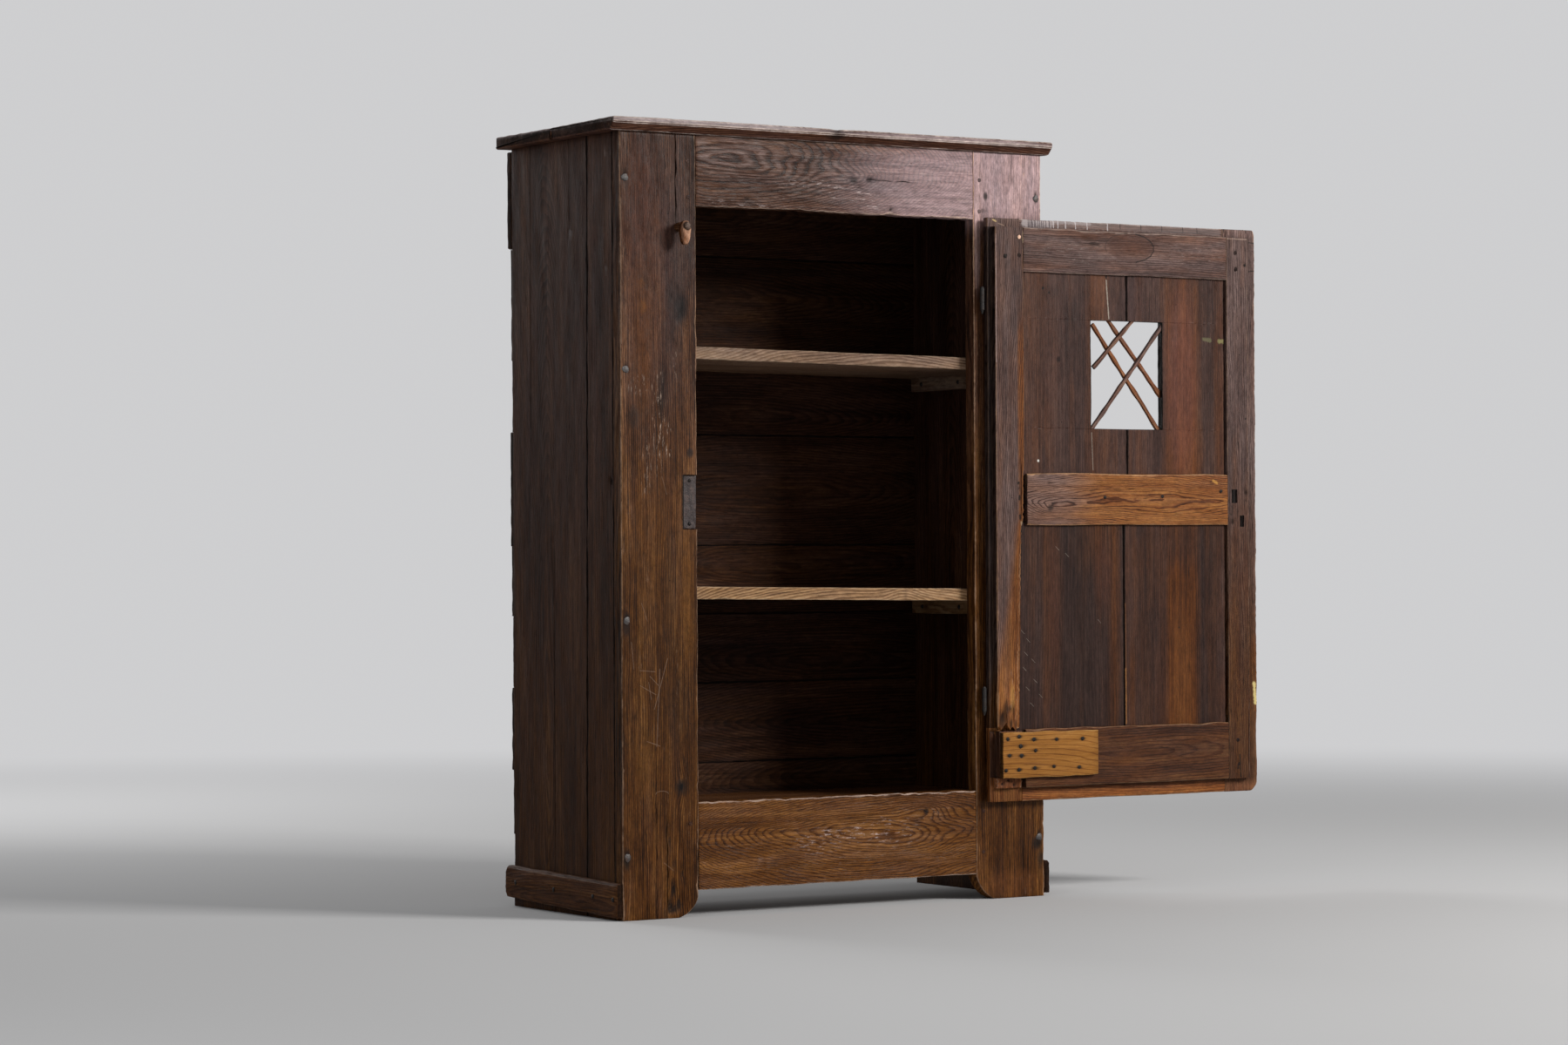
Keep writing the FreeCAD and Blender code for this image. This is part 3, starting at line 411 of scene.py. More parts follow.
def facing_out(mesh):
    """Turns the faces of a closed mesh outwards."""
    bm = bmesh.new()
    bm.from_mesh(mesh)
    bmesh.ops.recalc_face_normals(bm, faces=bm.faces)
    bm.to_mesh(mesh)
    bm.free()


def grain_data(mesh, along, across, through, seed, pith, knot, wear, dirt, warm, tone):
    """Stores what the wood materials read: places in the grain, knots, wear, dirt and colour."""
    rng = np.random.default_rng(seed)
    offset = rng.uniform(200, 4000, 3)
    grain = np.stack((along, across, through), -1)
    start, middle, below, bow, taper, spacing = pith
    rings = grain - np.array((start, middle, 0)) + np.array((0, 0, below))
    add_attribute(mesh, "grain", grain + offset)
    add_attribute(mesh, "rings", rings)
    add_attribute(mesh, "form", np.tile((bow * 1e4, taper, spacing), (len(grain), 1)))
    place_s, place_a, size = knot
    add_attribute(mesh, "knot", np.stack((along - place_s, across - place_a, size + 0 * along), -1))
    add_attribute(mesh, "marks", np.stack((wear, dirt, warm), -1))
    add_attribute(mesh, "tone", tone)


NO_KNOT = (9000, 9000, 1)
STRAIGHT = (0, -260, 40, 0, 0.004, 4.5)


def make_board(name, node, body, slot, material, axes, span, corners, pith=STRAIGHT, knot=NO_KNOT,
               warm=0, tone=1, shade=None, stains=(), slots=(), back_side=2, **shape):
    """One aged board with its grain, in place of a node."""
    board = Board(name, axes, span, corners, **shape)
    board.back_side = back_side
    mesh = bpy.data.meshes.new(name)
    mesh.from_pydata(board.coordinates().tolist(), [], board.faces(slots))
    facing_out(mesh)
    along, across, through = board.l.ravel(), board.a.ravel(), board.b.ravel()
    from_face = through - through.min()
    dirt = board.dirt.ravel()
    for place_s, place_a, reach_s, reach_a, strength in stains:
        spot = bump(along - place_s, reach_s) * bump(across - place_a, reach_a)
        dirt = np.maximum(dirt, strength * spot)
    warm_values = warm(along, across) if callable(warm) else warm + 0 * along
    tone_values = tone(along, across) if callable(tone) else tone + 0 * along
    if shade:
        tone_values = tone_values * shade(along, across, through)
    grain_data(mesh, along, across, from_face, board.seed, pith, knot, board.wear.ravel(), dirt,
               warm_values, tone_values)
    nodes = [node] if isinstance(node, str) else list(node)
    return finished(mesh, name, body, material, nodes)


def rectangle(a0, a1, b0, b1):
    """Corners of a plain section; the first side is the one at b0."""
    return lambda s: [(a0, b0), (a1, b0), (a1, b1), (a0, b1)]


class Graph:
    """A material's node tree, with short calls for the nodes it is made of."""

    def __init__(self, name):
        self.material = bpy.data.materials.new(name)
        self.material.use_nodes = True
        self.tree = self.material.node_tree
        self.tree.nodes.clear()

    def plug(self, socket, value):
        if isinstance(value, bpy.types.NodeSocket):
            self.tree.links.new(value, socket)
        elif value is not None:
            socket.default_value = value

    def node(self, kind, *inputs, out=0, **settings):
        made = self.tree.nodes.new("ShaderNode" + kind)
        for key, value in settings.items():
            setattr(made, key, value)
        for place, value in enumerate(inputs):
            self.plug(made.inputs[place], value)
        return made.outputs[out]

    def math(self, operation, a, b=None, clamp=False):
        return self.node("Math", a, b, operation=operation, use_clamp=clamp)

    def add(self, a, b):
        return self.math("ADD", a, b)

    def times(self, a, b):
        return self.math("MULTIPLY", a, b)

    def vector(self, operation, a, b=None, out=0):
        return self.node("VectorMath", a, b, operation=operation, out=out)

    def attribute(self, name, vector=True):
        return self.node("Attribute", attribute_name=name, out=1 if vector else 2)

    def split(self, vector):
        made = self.tree.nodes.new("ShaderNodeSeparateXYZ")
        self.plug(made.inputs[0], vector)
        return made.outputs[0], made.outputs[1], made.outputs[2]

    def noise(self, vector, sizes, detail=2, rough=0.55, shift=0):
        """Noise whose features have the given sizes, centred on zero and about -1 to 1."""
        scaled = self.vector("MULTIPLY", vector, tuple(1 / size for size in sizes))
        if shift:
            scaled = self.vector("ADD", scaled, (shift, shift * 0.37, shift * 0.71))
        made = self.tree.nodes.new("ShaderNodeTexNoise")
        self.plug(made.inputs["Vector"], scaled)
        made.inputs["Scale"].default_value = 1
        made.inputs["Detail"].default_value = detail
        made.inputs["Roughness"].default_value = rough
        return self.times(self.add(made.outputs[0], -0.5), 2.6)

    def steps(self, value, low, high):
        """Rises smoothly from 0 at low to 1 at high."""
        made = self.tree.nodes.new("ShaderNodeMapRange")
        made.interpolation_type = "SMOOTHSTEP"
        self.plug(made.inputs[0], value)
        made.inputs[1].default_value = low
        made.inputs[2].default_value = high
        return made.outputs[0]

    def ramp(self, value, colours, places=RAMP_PLACES):
        made = self.tree.nodes.new("ShaderNodeValToRGB")
        elements = made.color_ramp.elements
        while len(elements) < len(colours):
            elements.new(0.5)
        for element, place, colour in zip(elements, places, colours):
            element.position = place
            element.color = (*colour, 1)
        self.plug(made.inputs[0], value)
        return made.outputs[0]

    def mix(self, share, a, b, blend="MIX"):
        made = self.tree.nodes.new("ShaderNodeMix")
        made.data_type = "RGBA"
        made.blend_type = blend
        self.plug(made.inputs[0], share)
        self.plug(made.inputs[6], a if isinstance(a, bpy.types.NodeSocket) else (*a, 1))
        self.plug(made.inputs[7], b if isinstance(b, bpy.types.NodeSocket) else (*b, 1))
        return made.outputs[2]

    def shader(self, colour, roughness, height=None, relief=0.5, **plain):
        """A principled shader with its bump, joined to the output."""
        made = self.tree.nodes.new("ShaderNodeBsdfPrincipled")
        self.plug(made.inputs["Base Color"], colour)
        self.plug(made.inputs["Roughness"], roughness)
        for key, value in plain.items():
            made.inputs[key.replace("_", " ")].default_value = value
        if height is not None:
            raised = self.tree.nodes.new("ShaderNodeBump")
            raised.inputs["Strength"].default_value = 1
            raised.inputs["Distance"].default_value = relief * MM
            self.plug(raised.inputs["Height"], height)
            self.tree.links.new(raised.outputs[0], made.inputs["Normal"])
        output = self.tree.nodes.new("ShaderNodeOutputMaterial")
        self.tree.links.new(made.outputs[0], output.inputs[0])
        return self.material


def place_on_cupboard(g):
    """The point's place in the cupboard's millimetres, at rest."""
    metres = g.node("TexCoord", out=3)
    moved = g.vector("SUBTRACT", metres, tuple(float(v) for v in ORIGIN))
    return g.vector("MULTIPLY", moved, (1000, 1000, 1000))


def mark_share(g, place, start, end, half_width, rough):
    """How strongly a scratch or smear between two points (x, z) covers a point."""
    (x0, z0), (x1, z1) = start, end
    flat = g.vector("MULTIPLY", place, (1, 0, 1))
    from_start = g.vector("SUBTRACT", flat, (x0, 0, z0))
    line = (x1 - x0, 0, z1 - z0)
    length_squared = max(line[0] ** 2 + line[2] ** 2, 1)
    share = g.math("DIVIDE", g.vector("DOT_PRODUCT", from_start, line, out=1), length_squared, clamp=True)
    along = g.node("CombineXYZ", share, share, share)
    nearest = g.vector("MULTIPLY", along, line)
    distance = g.vector("LENGTH", g.vector("SUBTRACT", from_start, nearest), out=1)
    broken = g.times(rough, half_width * 0.8)
    return g.math("SUBTRACT", 1, g.steps(g.add(distance, broken), half_width * 0.5, half_width * 1.5))


def inside_share(g, place, low, high):
    """1 inside an upright box through the door, given by its low and high x and z."""
    x, _, z = g.split(place)
    within = g.times(g.math("GREATER_THAN", x, low[0]), g.math("LESS_THAN", x, high[0]))
    return g.times(within, g.times(g.math("GREATER_THAN", z, low[1]), g.math("LESS_THAN", z, high[1])))


def oval_share(g, place, centre, reach, rough, core=0.45):
    """How strongly a rough-edged oval on the front, given in x and z, covers a point."""
    moved = g.vector("SUBTRACT", place, (centre[0], 0, centre[1]))
    scaled = g.vector("MULTIPLY", moved, (1 / reach[0], 0, 1 / reach[1]))
    away = g.add(g.vector("LENGTH", scaled, out=1), g.times(rough, 0.22))
    return g.math("SUBTRACT", 1, g.steps(away, core, 1.6 - core))


def ring_marks(centre, reach, turns, half_width, strength, colour):
    """Scratch marks along an oval, between two angles in degrees."""
    angles = np.radians(np.linspace(*turns, 8))
    points = [(centre[0] + reach[0] * math.cos(a), centre[1] + reach[1] * math.sin(a)) for a in angles]
    return tuple((a, b, half_width, strength, colour) for a, b in zip(points, points[1:]))


class WoodGraph(Graph):
    """Old wood, built up layer by layer from its grain to its scratches."""

    def __init__(self, name, marks_before):
        super().__init__(name)
        self.grain = self.attribute("grain")
        self.place = place_on_cupboard(self)
        self.on_face = 1
        if marks_before is not None:
            self.on_face = self.math("LESS_THAN", self.split(self.place)[1], marks_before)
        self.wear, self.dirt, self.warmth = self.split(self.attribute("marks"))
        self.fine = self.noise(self.grain, (220, 5, 5), 4, 0.65)
        self.mottled = self.noise(self.grain, (38, 17, 17), 4, 0.7, shift=8.4)
        self.light_lines = self.steps(self.noise(self.grain, (24, 4.2, 4.2), 4, 0.75, shift=23.3), 0.12, 0.45)

    def lay(self, share, colour):
        """Lays a colour over the wood where the share says."""
        self.colour = self.mix(share, self.colour, colour)

    def oval(self, centre, reach, *core):
        return oval_share(self, self.place, centre, reach, self.mottled, *core)

    def grow_rings(self, wave, ring_rise, patchy):
        """Place within each growth ring, its dark late wood, and the distance from the knot."""
        along, across, through = self.split(self.attribute("rings"))
        bow, taper, spacing = self.split(self.attribute("form"))
        knot_s, knot_a, knot_size = self.split(self.attribute("knot"))
        radius = self.math("SQRT", self.add(self.times(across, across), self.times(through, through)))
        knot_s2, knot_a2 = self.times(knot_s, knot_s), self.times(knot_a, knot_a)
        knot_far = self.add(self.times(knot_s2, 0.16), knot_a2)
        knot_share = self.math("DIVIDE", knot_far, self.times(knot_size, knot_size))
        swell = self.times(self.math("EXPONENT", self.times(knot_share, -0.5)), self.times(knot_size, 0.9))
        swell = self.times(swell, self.math("GREATER_THAN", knot_size, 2))
        wander = self.times(self.noise(self.grain, (300, 60, 60), 1), 9 * wave)
        flutter = self.times(self.noise(self.grain, (60, 11, 11), 2), 1.3 * wave)
        arch = self.times(self.times(along, along), self.times(bow, 1e-4))
        drift = self.add(self.times(along, taper), wander)
        total = self.add(self.add(self.add(radius, arch), drift), self.math("SUBTRACT", flutter, swell))
        self.saw = self.math("FRACT", self.math("DIVIDE", total, spacing))
        late = self.math("SUBTRACT", self.steps(self.saw, *ring_rise), self.steps(self.saw, 0.9, 1))
        shown = self.steps(self.noise(self.grain, (160, 45, 45), 2, 0.5, shift=12.3), -0.9, 0.7)
        self.late = self.times(late, self.add(1 - patchy, self.times(shown, patchy * 1.5)))
        knot_round = self.add(knot_s2, self.times(knot_a2, 1.6))
        self.knot_ring = self.math("DIVIDE", self.math("SQRT", knot_round), knot_size)

    def paint_grain(self, cool, warm, figure, fibre, blotch, streaks, pores, dashes):
        """Rings, fibres and blotches in cool and warm tones, with dark pores and dashes."""
        pore_lines = self.noise(self.grain, (30, 1.7, 1.7), 2, 0.5)
        between_rings = self.math("SUBTRACT", 1, self.times(self.late, 0.6))
        self.open_pores = self.times(self.steps(pore_lines, 0.15, 0.6), between_rings)
        broad = self.noise(self.grain, (420, 55, 55), 3, 0.6, shift=3.1)
        value = self.add(0.5, self.times(self.math("SUBTRACT", 0.5, self.late), figure))
        value = self.add(value, self.add(self.times(self.fine, fibre), self.times(broad, blotch)))
        value = self.add(value, self.times(self.mottled, 0.1))
        hue = self.noise(self.grain, (900, 26, 26), 2, 0.5, shift=5.7)
        cloud = self.noise(self.grain, (150, 34, 34), 3, 0.6, shift=14.2)
        hues = self.add(self.times(hue, 0.26 + streaks), self.times(cloud, 0.3))
        warm_share = self.math("ADD", self.warmth, hues, clamp=True)
        self.colour = self.mix(warm_share, self.ramp(value, cool), self.ramp(value, warm))
        self.lay(self.times(self.open_pores, pores), tuple(0.35 * c for c in cool[0]))
        dash_lines = self.steps(self.noise(self.grain, (44, 3, 3), 2, 0.6, shift=17.9), 0.22, 0.75)
        self.lay(self.times(dash_lines, dashes), cool[0])

    def paint_places(self, patches, pale_zones, pale_colour, light_rings):
        """Stains, pale zones (faded wax, and on the rail painted glints) and light rings at places of their
        own.
        """
        uneven = self.add(0.7, self.times(self.add(self.fine, self.mottled), 0.35))
        for centre, reach, strength, colour, *core in patches:
            self.lay(self.times(self.oval(centre, reach, *core), self.times(uneven, strength)), colour)
        for centre, reach, strength in pale_zones:
            share = self.times(self.oval(centre, reach), self.times(self.light_lines, self.on_face))
            self.lay(self.times(share, strength), pale_colour)
        crest = self.math("SUBTRACT", self.steps(self.saw, 0.05, 0.25), self.steps(self.saw, 0.35, 0.65))
        crest = self.times(crest, self.steps(self.fine, -0.5, 0.5))
        for centre, reach, strength, colour in light_rings:
            self.lay(self.times(self.times(self.oval(centre, reach), crest), strength), colour)

    def paint_age(self, cool, worn, worn_share, flecks):
        """Light flecks, worn edges, the knot's dark heart and grime."""
        if flecks:
            where = self.steps(self.noise(self.grain, (110, 38, 38), 2, 0.5, shift=29.1), 0.05, 0.75)
            self.lay(self.times(self.times(self.light_lines, where), flecks), worn)
        worn_here = self.steps(self.add(self.wear, self.times(self.mottled, 0.45)), 0.55, 1.15)
        self.lay(self.times(worn_here, worn_share), worn)
        knot_edge = self.add(self.knot_ring, self.times(self.mottled, 0.12))
        heart = self.math("SUBTRACT", 1, self.steps(knot_edge, 0.25, 0.75))
        self.lay(self.times(heart, 0.75), tuple(0.6 * c for c in cool[0]))
        soiled = self.add(self.dirt, self.times(self.times(self.mottled, 0.5), self.dirt))
        self.grime = self.steps(soiled, 0.15, 0.9)
        self.lay(self.times(self.grime, 0.9), GRIME_BLACK)

    def worm_holes(self, worms):
        """Small round holes in a share of the cells of a stretched pattern."""
        cells = self.tree.nodes.new("ShaderNodeTexVoronoi")
        self.plug(cells.inputs["Vector"], self.vector("MULTIPLY", self.grain, (1 / 16, 1 / 12, 1 / 12)))
        cells.inputs["Scale"].default_value = 1
        chosen = self.math("GREATER_THAN", self.split(cells.outputs["Color"])[0], 1 - worms)
        round_hole = self.math("SUBTRACT", 1, self.steps(cells.outputs["Distance"], 0.05, 0.1))
        return self.times(round_hole, chosen)

    def paint_tone(self, grit):
        """Brightness of the board, roughened by fine grit."""
        gritty = self.noise(self.grain, (21, 6.2, 6.2), 4, 0.85, shift=37.7)
        uneven = self.math("MAXIMUM", self.add(1, self.times(gritty, grit)), 0.3)
        tone = self.times(self.attribute("tone", vector=False), uneven)
        grey = self.node("CombineColor", tone, tone, tone)
        self.colour = self.mix(1, self.colour, grey, blend="MULTIPLY")

    def paint_marks(self, marks):
        """Scratches, lines and small holes on the face."""
        rough = self.noise(self.place, (7, 7, 7), 3, 0.7)
        for start, end, half_width, strength, colour in marks:
            share = mark_share(self, self.place, start, end, half_width, rough)
            self.lay(self.times(self.times(share, self.on_face), strength), colour)


def wood(name, cool, warm, gloss=0.45, figure=0.3, pores=0.65, blotch=0.3, fibre=0.3, worms=0,
         worn=(0.3, 0.2, 0.15), worn_share=0.8, relief=0.45, shine=0.1, streaks=0, marks=(), flecks=0,
         dashes=0.55, ring_rise=(0.25, 0.86), patchy=0.5, hollows=(), patches=(), pale_zones=(),
         pale_colour=(0.42, 0.3, 0.23), light_rings=(), wave=1, grit=0.65, marks_before=None, edge_rough=0):
    """Old oak or pine: growth rings, fibres, open pores, blotches, worn edges and dirt."""
    g = WoodGraph(name, marks_before)
    g.grow_rings(wave, ring_rise, patchy)
    g.paint_grain(cool, warm, figure, fibre, blotch, streaks, pores, dashes)
    if patches or pale_zones or light_rings:
        g.paint_places(patches, pale_zones, pale_colour, light_rings)
    g.paint_age(cool, worn, worn_share, flecks)
    height = g.add(g.times(g.open_pores, -0.55), g.times(g.late, 0.3))
    height = g.add(height, g.add(g.times(g.fine, 0.35), g.times(g.mottled, 0.55)))
    if worms:
        holes = g.worm_holes(worms)
        g.lay(holes, HOLE_BLACK)
        height = g.add(height, g.times(holes, -1.5))
    # Painted shade: inside the slot and window boxes the wood is laid near black
    for low, high in hollows:
        g.lay(g.times(inside_share(g, g.place, low, high), 0.93), HOLLOW_SHADE_BLACK)
    g.paint_tone(grit)
    if marks:
        g.paint_marks(marks)
    roughness = g.add(gloss, g.times(g.mottled, 0.1))
    roughness = g.add(roughness, g.add(g.times(g.open_pores, 0.22), g.times(g.grime, 0.25)))
    if edge_rough:
        roughness = g.add(roughness, g.times(g.math("SUBTRACT", 1, g.on_face), edge_rough))
    return g.shader(g.colour, roughness, height, relief, Specular_IOR_Level=shine)


def iron(name, base=(0.045, 0.04, 0.038), rust=(0.12, 0.055, 0.03), rust_share=0.5, metal=0.55,
         bare=(0.15, 0.14, 0.13), shine=0.5):
    """Forged iron, dark, with rust in its hollows and bare metal on its high spots."""
    g = Graph(name)
    place = place_on_cupboard(g)
    coarse = g.noise(place, (14, 14, 14), 4, 0.65)
    fine = g.noise(place, (2.5, 2.5, 2.5), 3, 0.6, shift=2)
    rusty = g.times(g.steps(g.add(coarse, g.times(fine, 0.4)), -0.1, 0.7), rust_share)
    colour = g.mix(rusty, base, rust)
    bright = g.steps(g.add(fine, g.times(coarse, -0.5)), 0.5, 1)
    colour = g.mix(g.times(bright, 0.6), colour, bare)
    roughness = g.add(0.48, g.times(rusty, 0.35))
    height = g.add(g.times(coarse, 0.6), g.times(fine, 0.5))
    return g.shader(colour, roughness, height, 0.6, Metallic=metal, Specular_IOR_Level=shine)


# Colours of scratches, holes and chalk on the woods
PALE_LINE = (0.34, 0.29, 0.24)
SCRATCH = (0.26, 0.17, 0.12)
BLACK = (0.005, 0.004, 0.003)
CHALK = (0.5, 0.45, 0.45)
KERF_DARK = (0.05, 0.035, 0.04)

# A scar on the left stile and the oval grain on the door's top rail
RING_SCAR = ring_marks((92, 250), (15, 6), (0, 180), 0.7, 0.35, SCRATCH)
OVAL = (ring_marks((1246, 1383), (66, 31), (-75, 75), 1.3, 0.9, (0.012, 0.007, 0.005))
        + ring_marks((1246, 1383), (66, 31), (95, 200), 0.9, 0.6, (0.02, 0.012, 0.009)))

# Light scuffs on the panels, and the openings cut through the lock stile and the upper panel, whose walls get
# painted shade
SCUFF_MARKS = tuple(((x, z), (x + 9, z - 8), 0.45, 0.4, PALE_LINE) for x, z in SCUFFS)
SLOT_HOLLOWS = tuple(((x0 - 0.5, z0 - 0.5), (x1 + 0.5, z1 + 0.5)) for x0, x1, z0, z1 in LOCK_SLOTS)
WINDOW_HOLLOW = ((WINDOW_X[0] - 0.4, WINDOW_Z[0] - 0.4), (WINDOW_X[1] + 0.6, WINDOW_Z[1] + 0.2))


def lip_marks():
    """Chalk, saw marks and cracks along the door's top lip."""
    marks = [((980, 1429), (1046, 1429), 9, 0.55, CHALK),
             ((1056, 1433), (1150, 1432), 4, 0.45, CHALK),
             ((1160, 1436), (1500, 1435), 2, 0.45, CHALK),
             ((1056, 1428), (1500, 1427), 8, 0.4, (0.2, 0.16, 0.15))]
    marks += [((x, 1437), (x + 0.6, 1420), 1.3, 0.8, KERF_DARK if x < 1050 else CHALK) for x in KERFS]
    marks += [((x, 1437), (x + 1, 1424), 0.8, 0.85, BLACK) for x in (1232, 1288, 1345, 1402, 1441)]
    return tuple(marks)


# Scratches and holes: their two ends (x, z), half width, strength and colour
FRONT_MARKS = (
    ((88, 500), (80, 345), 0.8, 0.4, SCRATCH),
    ((58, 356), (88, 346), 0.8, 0.4, SCRATCH),
    ((96, 112), (118, 96), 0.7, 0.35, SCRATCH),
    ((46, 632), (60, 596), 0.8, 0.3, SCRATCH),
    ((62, 474), (68, 440), 0.8, 0.35, SCRATCH),
    ((106, 521), (75, 420), 0.7, 0.45, SCRATCH),
    ((65, 486), (84, 468), 0.6, 0.45, SCRATCH),
    ((42, 468), (79, 449), 0.6, 0.45, SCRATCH),
    ((42, 498), (77, 495), 0.6, 0.45, SCRATCH),
    ((22, 555), (28, 501), 0.6, 0.45, SCRATCH),
    ((176.2, 1250), (176.4, 1085), 0.9, 0.75, (0.34, 0.19, 0.11)),
    ((176.2, 1060), (176, 905), 1, 0.6, (0.38, 0.22, 0.13)),
    ((2.6, 1440), (2.6, 1150), 0.7, 0.5, SCRATCH),
    # Painted shadow: dark lines round the keeper's recess, where its walls shade the plate
    ((144.5, 888), (144.5, 781), 1.9, 0.97, BLACK),
    ((146, 889.4), (175, 889.4), 0.8, 0.7, BLACK),
    ((146, 779.4), (175, 779.4), 0.7, 0.6, BLACK),
    ((2.6, 1060), (2.6, 620), 0.7, 0.4, (0.3, 0.16, 0.07)),
    ((95, 885), (106, 850), 0.7, 0.3, SCRATCH),
) + RING_SCAR
TORN_MARKS = (
    ((948, 876), (948, 876), 3.4, 0.98, BLACK),
    ((951, 850), (950.5, 842), 2, 0.9, BLACK),
    ((952, 808), (953, 801), 2.4, 0.9, BLACK),
    ((955.5, 794), (956.5, 789), 2.4, 0.8, (0.3, 0.2, 0.12)),
    ((917.3, 1354), (917.3, 1354), 4.6, 0.97, BLACK),
    ((953.5, 1357), (953.5, 1357), 4.6, 0.97, BLACK),
    ((949, 1395), (949.4, 1398), 2.6, 0.95, BLACK),
    # Pale line down the outer arris: worn edge and painted highlight; pale line at the top rail joint:
    # painted highlight
    ((893.2, 1400), (893, 1130), 0.8, 0.85, (0.36, 0.25, 0.23)),
    ((893, 1130), (893, 820), 0.7, 0.55, (0.3, 0.19, 0.15)),
    ((963.4, 1408), (963.4, 1384), 0.9, 0.85, (0.5, 0.36, 0.22)),
    ((896, 1431), (904, 1428), 1.6, 0.8, (0.5, 0.36, 0.16)),
    ((910, 1424), (924, 1420), 1.2, 0.6, (0.3, 0.2, 0.14)),
)
LOCK_MARKS = (
    ((1594, 440), (1597, 398), 3.8, 0.95, (0.6, 0.48, 0.2)),
    ((1541, 286), (1543, 238), 1.6, 0.9, BLACK),
    ((1535, 262), (1536, 256), 2, 0.8, BLACK),
    ((1509.9, 372), (1510.2, 206), 1.3, 0.92, BLACK),
    ((1509.7, 1416), (1509.7, 1326), 0.9, 0.85, BLACK),
    ((1586, 1407.5), (1601, 1407), 0.9, 0.9, BLACK),
    ((1584, 1344), (1601, 1346), 0.9, 0.9, BLACK),
    ((1516, 1438), (1516, 1427), 1.3, 0.9, BLACK),
    ((1577, 1438), (1577, 1429), 1, 0.9, BLACK),
    ((1562, 1020), (1562, 1020), 1.8, 0.9, BLACK),
    ((1546, 1160), (1546, 1160), 1.6, 0.9, BLACK),
    # Painted highlight along the top arris of the raised frame
    ((1514, 1413), (1568, 1413), 1.2, 0.45, (0.4, 0.28, 0.22)),
)
PANEL_MARKS = (
    # Painted shadow: a dark line down the lower panel beside the torn hinge stile, which shades it
    ((959, 792), (953, 640), 2.8, 0.97, BLACK),
    ((953, 640), (948.5, 500), 2.4, 0.97, BLACK),
    ((948.5, 500), (944.5, 362), 2.2, 0.97, BLACK),
    ((1020, 1290), (1020, 1290), 2.8, 0.95, BLACK),
    ((1036, 1281), (1036, 1281), 2.2, 0.9, BLACK),
    ((1380, 566), (1380, 566), 2, 0.9, BLACK),
    ((1188, 1312), (1194.5, 1230), 1.2, 0.85, PALE_LINE),
    ((1235, 480), (1235.5, 362), 1.6, 0.6, (0.34, 0.15, 0.05)),
    ((1234.5, 620), (1235, 480), 0.9, 0.45, (0.24, 0.1, 0.04)),
    ((1187.5, 1319), (1187.5, 1319), 2.4, 0.95, HOLE_BLACK),
    ((1147, 985), (1150, 905), 1, 0.45, PALE_LINE),
    ((1005.6, 924), (1005.6, 924), 2.6, 0.95, (0.7, 0.68, 0.62)),
    ((1452, 1192), (1470, 1190.5), 4, 0.16, (0.4, 0.42, 0.2)),
    ((1496, 1189), (1512, 1188), 4.5, 0.32, (0.42, 0.4, 0.16)),
) + SCUFF_MARKS

# Stains, worn patches and painted sheen: centre and reach (x, z), strength, colour, and for some the share
# that is full
FRONT_PATCHES = (
    ((128, 1330), (46, 160), 0.65, (0.042, 0.027, 0.028)),
    ((40, 1440), (40, 150), 0.5, (0.095, 0.029, 0.013)),
    ((62, 1330), (64, 300), 0.34, (0.115, 0.036, 0.019)),
    ((143, 1224), (20, 34), 0.9, (0.01, 0.009, 0.01)),
    ((128, 1238), (30, 56), 0.5, (0.012, 0.01, 0.01)),
    ((112, 1120), (34, 130), 0.45, (0.034, 0.02, 0.02)),
    ((52, 1225), (11, 17), 0.75, (0.2, 0.07, 0.01)),
    ((51, 1272), (9, 10), 0.5, (0.15, 0.052, 0.01)),
    ((50, 1180), (28, 190), 0.5, (0.12, 0.04, 0.009)),
    ((94, 1050), (10, 66), 0.75, (0.012, 0.009, 0.008)),
    ((30, 1003), (15, 28), 0.75, (0.012, 0.009, 0.008)),
    ((155, 640), (15, 170), 0.55, (0.18, 0.068, 0.012)),
    ((70, 780), (50, 150), 0.35, (0.13, 0.048, 0.01)),
    ((112, 650), (16, 160), 0.5, (0.032, 0.016, 0.01)),
    ((50, 310), (20, 60), 0.5, (0.16, 0.062, 0.01)),
    ((130, 420), (34, 90), 0.4, (0.036, 0.018, 0.009)),
    ((137, 262), (18, 20), 0.92, (0.01, 0.008, 0.007)),
    ((9, 120), (10, 26), 0.8, (0.012, 0.009, 0.007)),
    ((1019, 113), (15, 19), 0.9, (0.012, 0.01, 0.009)),
    ((1027, 78), (10, 24), 0.7, (0.014, 0.01, 0.008)),
    ((950, 30), (80, 34), 0.45, (0.16, 0.056, 0.018)),
    ((90, 620), (60, 60), 0.3, (0.13, 0.048, 0.01)),
    ((161, 934), (9, 12), 0.95, (0.012, 0.013, 0.015)),
    ((10, 588), (12, 26), 0.8, (0.01, 0.009, 0.009)),
    # Painted pinkish sheen over the upper right of the front
    ((950, 1520), (260, 130), 0.42, (0.4, 0.3, 0.32)),
    ((872, 1380), (9, 120), 0.55, (0.3, 0.21, 0.21)),
    ((893, 1481), (7, 13), 0.9, (0.02, 0.015, 0.014)),
    ((886, 1451), (5, 6), 0.8, (0.03, 0.02, 0.018)),
)
RAIL_PATCHES = (
    ((600, 1504), (26, 9), 0.8, (0.01, 0.007, 0.006)),
    ((548, 1505), (30, 12), 0.45, (0.016, 0.01, 0.009)),
    ((620, 1484), (46, 8), 0.45, (0.014, 0.009, 0.008)),
    ((300, 1446), (26, 8), 0.5, (0.014, 0.009, 0.008)),
    # Painted pinkish sheen over the right part of the rail
    ((850, 1490), (370, 130), 0.42, (0.4, 0.3, 0.32)),
)
